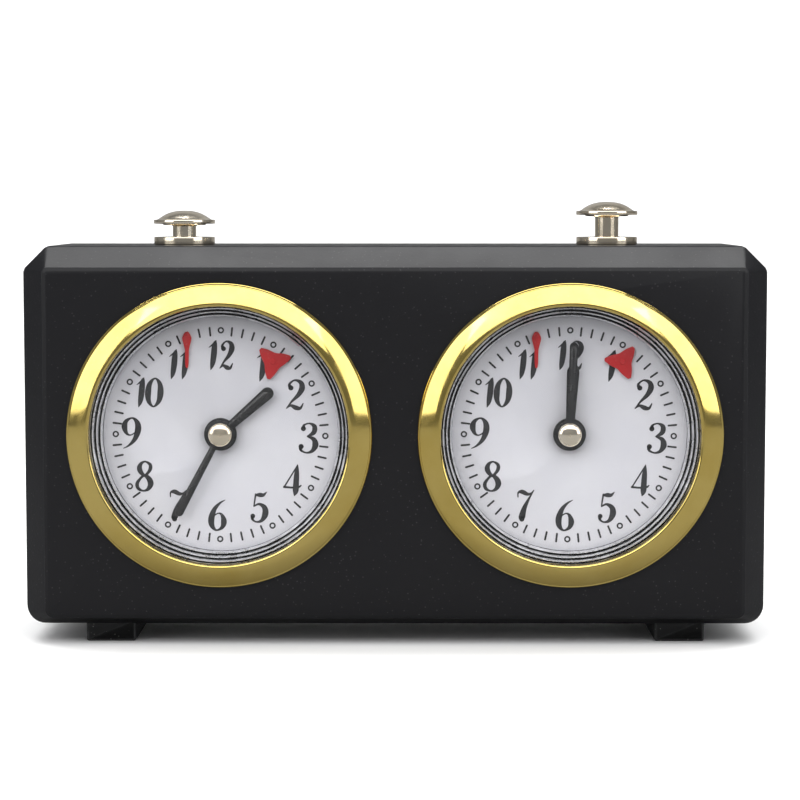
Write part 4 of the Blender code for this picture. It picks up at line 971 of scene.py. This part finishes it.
def dial_print(side):
    """The numerals, the minute track and the small rings at the five-minute marks, as raised ink."""
    bm = bmesh.new()
    front = depths(f"{side}_dial")[0] - INK_THICKNESS
    back = front + INK_THICKNESS
    ring_out, ring_in = HOUR_RING_RADIUS, HOUR_RING_RADIUS - HOUR_RING_LINE
    for hour in range(1, 13):
        angle = 30 * hour
        half = (0.24 if hour < 10 else 0.42) * NUMERAL_HEIGHT, NUMERAL_HEIGHT / 2
        reach = math.hypot(half[0] * math.sin(math.radians(angle)), half[1] * math.cos(math.radians(angle)))
        x, z = polar(NUMERAL_REACH - reach, angle + NUMERAL_TURN)
        pair = PAIR_SHIFT if hour > 9 else 0.0
        numeral(bm, str(hour), x + NUMERAL_SHIFT[0] + pair, z + NUMERAL_SHIFT[1], front)
        x, z = polar(TRACK_RADIUS, angle)
        ring = [(ring_in, front), (ring_out, front), (ring_out, back), (ring_in, back)]
        lathe(bm, ring, steps=24, centre=(x, 0, z))
    for minute in range(60):
        if minute % 5:
            ends = [Vector((*polar(r, 6 * minute), TICK_WIDTH)) for r in (TICK_INNER, TICK_OUTER)]
            ribbon(bm, ends, False, front, back)
    shifted(bm, PRINT_SHIFT[0], 0, PRINT_SHIFT[1], turn=PRINT_TURN)
    bm = at(bm, dial_point(side))
    return finished(f"{side}_dial_numerals", bm, FINISH["ink"], "case", sharp=60.0)


# ---------------------------------------------------------------- hands
def baton(bm, hub, length, root, tip, front, thickness):
    """A hand that points to twelve: a round hub, a baton that widens outwards, and a ridge down it."""
    start = math.degrees(math.asin(root / 2 / hub))
    end = length - tip / 2
    outline = [polar(hub, start + (360 - 2 * start) * k / 40) for k in range(41)] + [(-tip / 2, end - 0.2)]
    outline += [(x, end + z) for x, z in (polar(tip / 2, -90 + 15 * k) for k in range(13))]
    outline.append((tip / 2, end - 0.2))
    bevelled(bm, outline, front, front + thickness, 0.1, 2)
    foot_z, top_z = hub * 0.75, end + tip * 0.1
    shoulder = top_z - tip * 0.25
    spine = [(-root * 0.26, foot_z), (-tip * 0.3, shoulder), (0, top_z), (tip * 0.3, shoulder)]
    spine.append((root * 0.26, foot_z))
    crest = [(x * 0.45, foot_z + (z - foot_z) * 0.985) for x, z in spine]
    return loft(bm, [(front + thickness / 2, spine), (front, spine), (front - HAND_RIDGE, crest)])


def hand(side, which):
    """The hour or minute hand, as long as its CAD hand and at the same angle."""
    name = f"{side}_{which}_hand"
    front, back = depths(name)
    x, z = farthest(name, dial_point(side))
    hub, root, tip = HAND_SIZES[which]
    length, flat = math.hypot(x, z) / MM, front + HAND_RIDGE
    bm = baton(bmesh.new(), hub, length, root, tip, flat, back - flat)
    bm = at(bm, dial_point(side), math.degrees(math.atan2(x, z)))
    return finished(f"{name}_blade", bm, FINISH["enamel"], f"{side}_{which}_train", name, sharp=20.0)


def hand_cap(side):
    """The domed cap over the hands, with a turned groove round its foot and a dimple on its crown."""
    name = f"{side}_hand_cap"
    radius = half_width(name)
    front, back = depths(name)
    neck, brim = radius - 0.08, back - 0.36
    profile = [(0, back), (radius, back), (radius, back - 0.2), (neck, back - 0.25), (neck, back - 0.33)]
    rounds = 12
    for k in range(rounds):
        angle = k / rounds * math.pi / 2
        profile.append((radius * math.cos(angle), brim - (brim - front) * math.sin(angle)))
    profile += [(0.3, front + 0.02), (0.2, front + 0.12), (0, front + 0.14)]
    bm = at(lathe(bmesh.new(), profile, steps=64), dial_point(side))
    return finished(f"{side}_cap_dome", bm, FINISH["cap_gold"], f"{side}_minute_train", name)


def flag(side):
    """The red flag: a rounded head on its pin, and a blade that tapers downwards."""
    pivot = joint_point(f"{side}_flag_lift")
    front = depths(f"{side}_flag")[0]
    tip = (low(f"{side}_flag").z - pivot.z) / MM
    blade = [polar(0.62, -70 + 14 * k) for k in range(11)]
    right = [(0.82, -0.2), (0.98, -0.7), (0.9, -1.3), (0.62, -2.3), (0.42, -3.2)]
    right += [(0.36, tip + 1.0), (0.26, tip + 0.2), (0.1, tip)]
    blade += right + [(-x, z) for x, z in reversed(right)]
    bm = bevelled(bmesh.new(), blade, front, front + 0.3, 0.06, 2)
    pin = [(0, front - 0.14), (0.22, front - 0.14), (0.34, front - 0.02)]
    pin += [(0.34, front + 1.1), (0, front + 1.1)]
    bm = at(lathe(bm, pin, steps=32), pivot)
    return finished(f"{side}_flag_blade", bm, FINISH["red"], f"{side}_flag", f"{side}_flag")


def rotor(side):
    """The red three-pointed rotor with hollow flanks and a small boss, turned as its CAD piece is."""
    pivot = joint_point(f"{side}_escape_wheel_turn")
    name = f"{side}_tick_rotor"
    front = depths(name)[0]
    mesh = frame["nodes"][name].data
    spots = [Vector((v.co.x - pivot.x, v.co.z - pivot.z)) / MM for v in mesh.vertices]
    far = max(spots, key=lambda spot: spot.length)
    radius = far.length
    tip = sum((spot for spot in spots if (spot - far).length < radius * 0.4), Vector((0, 0)))
    outline = []
    for point in (0, 120, 240):
        outline += [polar(radius, point + 3 * n) for n in (-1.6, -0.8, 0, 0.8, 1.6)]
        for n in range(1, 12):
            along = n / 12
            waist = 0.5 + 0.47 * (2 * along - 1) ** 2
            outline.append(polar(radius * min(waist, 0.985), point + 5 + 110 * along))
    bm = bevelled(bmesh.new(), outline, front, front + 0.35, 0.07, 2)
    boss = [(0, front - 0.16), (0.5, front - 0.16), (0.62, front - 0.04)]
    boss += [(0.62, front + 0.3), (0, front + 0.3)]
    bm = at(lathe(bm, boss, steps=32), pivot, math.degrees(math.atan2(tip.x, tip.y)))
    return finished(f"{side}_rotor_star", bm, FINISH["red"], f"{side}_escape_wheel", name)


# ---------------------------------------------------------------- back
def setting_knob(side):
    """The setting arbor, with a knob whose rim is fluted all round."""
    name = f"{side}_setting_arbor"
    front, end = depths(name)
    start = end - 5.6
    arbor = [(0, front), (0.8, front), (0.8, front + 1.3), (1.1, front + 1.3)]
    arbor += [(1.1, start + 0.5), (0, start + 0.5)]
    bm = lathe(bmesh.new(), arbor, steps=32)
    flutes, radius = 20, 4.35
    outline = []
    for k in range(flutes * 6):
        depth = 0.28 * (0.5 + 0.5 * math.cos(2 * math.pi * k / 6)) ** 0.7
        outline.append(polar(radius - depth, 360 * k / (flutes * 6)))
    bevelled(bm, outline, start, end - 0.25, 0.35)
    crown = [(0, end - 0.5), (3.2, end - 0.5), (3.1, end - 0.08), (2.7, end), (1.1, end)]
    lathe(bm, crown + [(0.8, end - 0.2), (0, end - 0.2)], steps=64)
    bm = at(bm, joint_point(f"{side}_centre_wheel_turn"))
    return finished(f"{side}_setting_knob", bm, FINISH["nickel"], f"{side}_minute_train", name)


def winding_key(side):
    """The winding arbor and its wing key, a flat bow on a stepped hub."""
    name = f"{side}_winding_key"
    front, end = depths(name)
    hub = depths("rear_case")[1] + 0.6
    reach, lobe = half_width(name), (end - hub) / 2
    profile = [(0, front), (0.42, front), (0.42, front + 1.3), (1.5, front + 1.3), (1.5, hub), (2.8, hub)]
    profile += [(2.8, hub + 1.8), (2.3, hub + 2.3), (1.9, hub + 3.4), (1.5, hub + 3.7), (0, hub + 3.7)]
    bm = lathe(bmesh.new(), eased(profile, 0.2, 2, closed=False), steps=64)
    outline = []
    for way, waist in ((1, hub + 0.9), (-1, end - 1.4)):
        for k in range(13):
            x, y = polar(lobe, 15 * k)
            outline.append((way * (reach - lobe + x), hub + lobe + way * y))
        outline += [(way * 2.0, waist), (-way * 2.0, waist)]
    joined(bm, laid_down(bevelled(bmesh.new(), outline, -1.0, 1.0, 0.3)))
    bm = at(bm, joint_point(f"{side}_winding_key_turn"))
    return finished(f"{side}_wing_key", bm, FINISH["nickel"], f"{side}_winding_key", name)


def movement_finishes():
    """Puts the brass, steel and spring finishes on the pieces inside, whose shapes stay as they are."""
    inside = {
        "brass": ("front_plate", "back_plate", "great_wheel", "centre_wheel", "third_wheel", "motion_wheel",
                  "hour_wheel", "balance_wheel"),
        "steel": ("escape_wheel", "pallet_lever"),
        "blued": ("mainspring", "hairspring"),
    }
    dressed = [("rocker", "steel"), ("rocker_pin", "steel")]
    for finish, names in inside.items():
        dressed += [(f"{side}_{name}", finish) for side in ("left", "right") for name in names]
    for name, finish in dressed:
        materials = frame["nodes"][name].data.materials
        materials.clear()
        materials.append(FINISH[finish])


# ---------------------------------------------------------------- studio
def camera():
    made = bpy.data.cameras.new("front_camera")
    made.lens = CAMERA_LENS
    made.sensor_width = 36.0
    made.clip_start = 0.01
    made.clip_end = 50.0
    view = bpy.data.objects.new("front_camera", made)
    bpy.context.scene.collection.objects.link(view)
    view.location = Vector(CAMERA_AT) * MM
    view.rotation_euler = (Vector(CAMERA_AIM) - Vector(CAMERA_AT)).to_track_quat("-Z", "Y").to_euler()
    bpy.context.scene.camera = view
    bpy.context.scene.view_settings.view_transform = "Standard"


def sweep():
    """A pale floor that curves up into a backdrop, and looks dimmer in polished metal than to the eye."""
    bm = bmesh.new()
    front, back, rise, wide, bend = -1.1, 1.6, 2.4, 3.0, 0.6
    path = [(front, 0.0), (back - bend, 0.0)]
    for k in range(1, 17):
        x, z = polar(bend, 180 - 90 * k / 16)
        path.append((back - bend + x, bend + z))
    path.append((back, rise))
    rows = [[bm.verts.new((x, y, z)) for x in (-wide, wide)] for y, z in path]
    for first, second in zip(rows, rows[1:]):
        bm.faces.new((first[0], first[1], second[1], second[0]))
    mesh = bpy.data.meshes.new("studio_sweep")
    bm.to_mesh(mesh)
    bm.free()
    mesh.shade_smooth()
    made, tree, shader = blank("studio_white", Roughness=0.9, Specular_IOR_Level=0.1)
    where = node(tree, "TexCoord").outputs["Object"]
    faint = noise(tree, where, 3.0, Detail=3.0)
    feed(tree, shader, Base_Color=ramp(tree, faint, [(0.3, (0.9, 0.9, 0.9)), (0.7, (0.92, 0.92, 0.92))]))
    dim = node(tree, "BsdfDiffuse", Color=(0.24, 0.24, 0.24, 1.0))
    by_ray(tree, "Is Glossy Ray", shader, dim, "Material Output")
    mesh.materials.append(made)
    piece = bpy.data.objects.new("studio_sweep", mesh)
    bpy.context.scene.collection.objects.link(piece)


def panel(name, spot, aim, wide, tall, power):
    """A soft rectangular lamp. Places are in metres."""
    lamp = bpy.data.lights.new(name, "AREA")
    lamp.shape = "RECTANGLE"
    lamp.size, lamp.size_y = wide, tall
    lamp.energy = power
    made = bpy.data.objects.new(name, lamp)
    bpy.context.scene.collection.objects.link(made)
    made.location = spot
    made.rotation_euler = (Vector(aim) - Vector(spot)).to_track_quat("-Z", "Y").to_euler()


def lights():
    heart = (0, 0, 0.045)
    panel("high_softbox", (0, -0.75, 0.85), heart, 1.4, 0.85, 8.4)
    panel("top_softbox", (0, 0.05, 1.1), heart, 1.1, 0.6, 5.2)
    panel("left_softbox", (-0.97, -0.64, 0.53), heart, 0.8, 0.92, 5.0)
    panel("right_softbox", (0.97, -0.64, 0.53), heart, 0.8, 0.92, 5.0)
    panel("backdrop_wash", (0, 0.3, 1.6), (0, 1.3, 0.3), 2.4, 0.6, 34)
    world = bpy.data.worlds.new("studio_air")
    world.use_nodes = True
    bpy.context.scene.world = world
    tree = world.node_tree
    dim = tree.nodes["Background"]
    dim.inputs["Color"].default_value = (0.95, 0.97, 1.0, 1.0)
    dim.inputs["Strength"].default_value = 0.2
    pale = node(tree, "Background", Color=(1.0, 1.0, 1.0, 1.0), Strength=1.0)
    by_ray(tree, "Is Camera Ray", dim, pale, "World Output")


# ---------------------------------------------------------------- build
front_case()
rear_case()
back_arrows()
for side in ("left", "right"):
    foot(side)
    for level in ("lower", "upper"):
        screw(level, side)
    button(side)
    collar(side)
    bezel(side)
    crystal(side)
    stepped_ring(side)
    dial(side)
    dial_print(side)
    for which in HAND_SIZES:
        hand(side, which)
    hand_cap(side)
    flag(side)
    rotor(side)
    setting_knob(side)
    winding_key(side)
movement_finishes()
sweep()
lights()
camera()
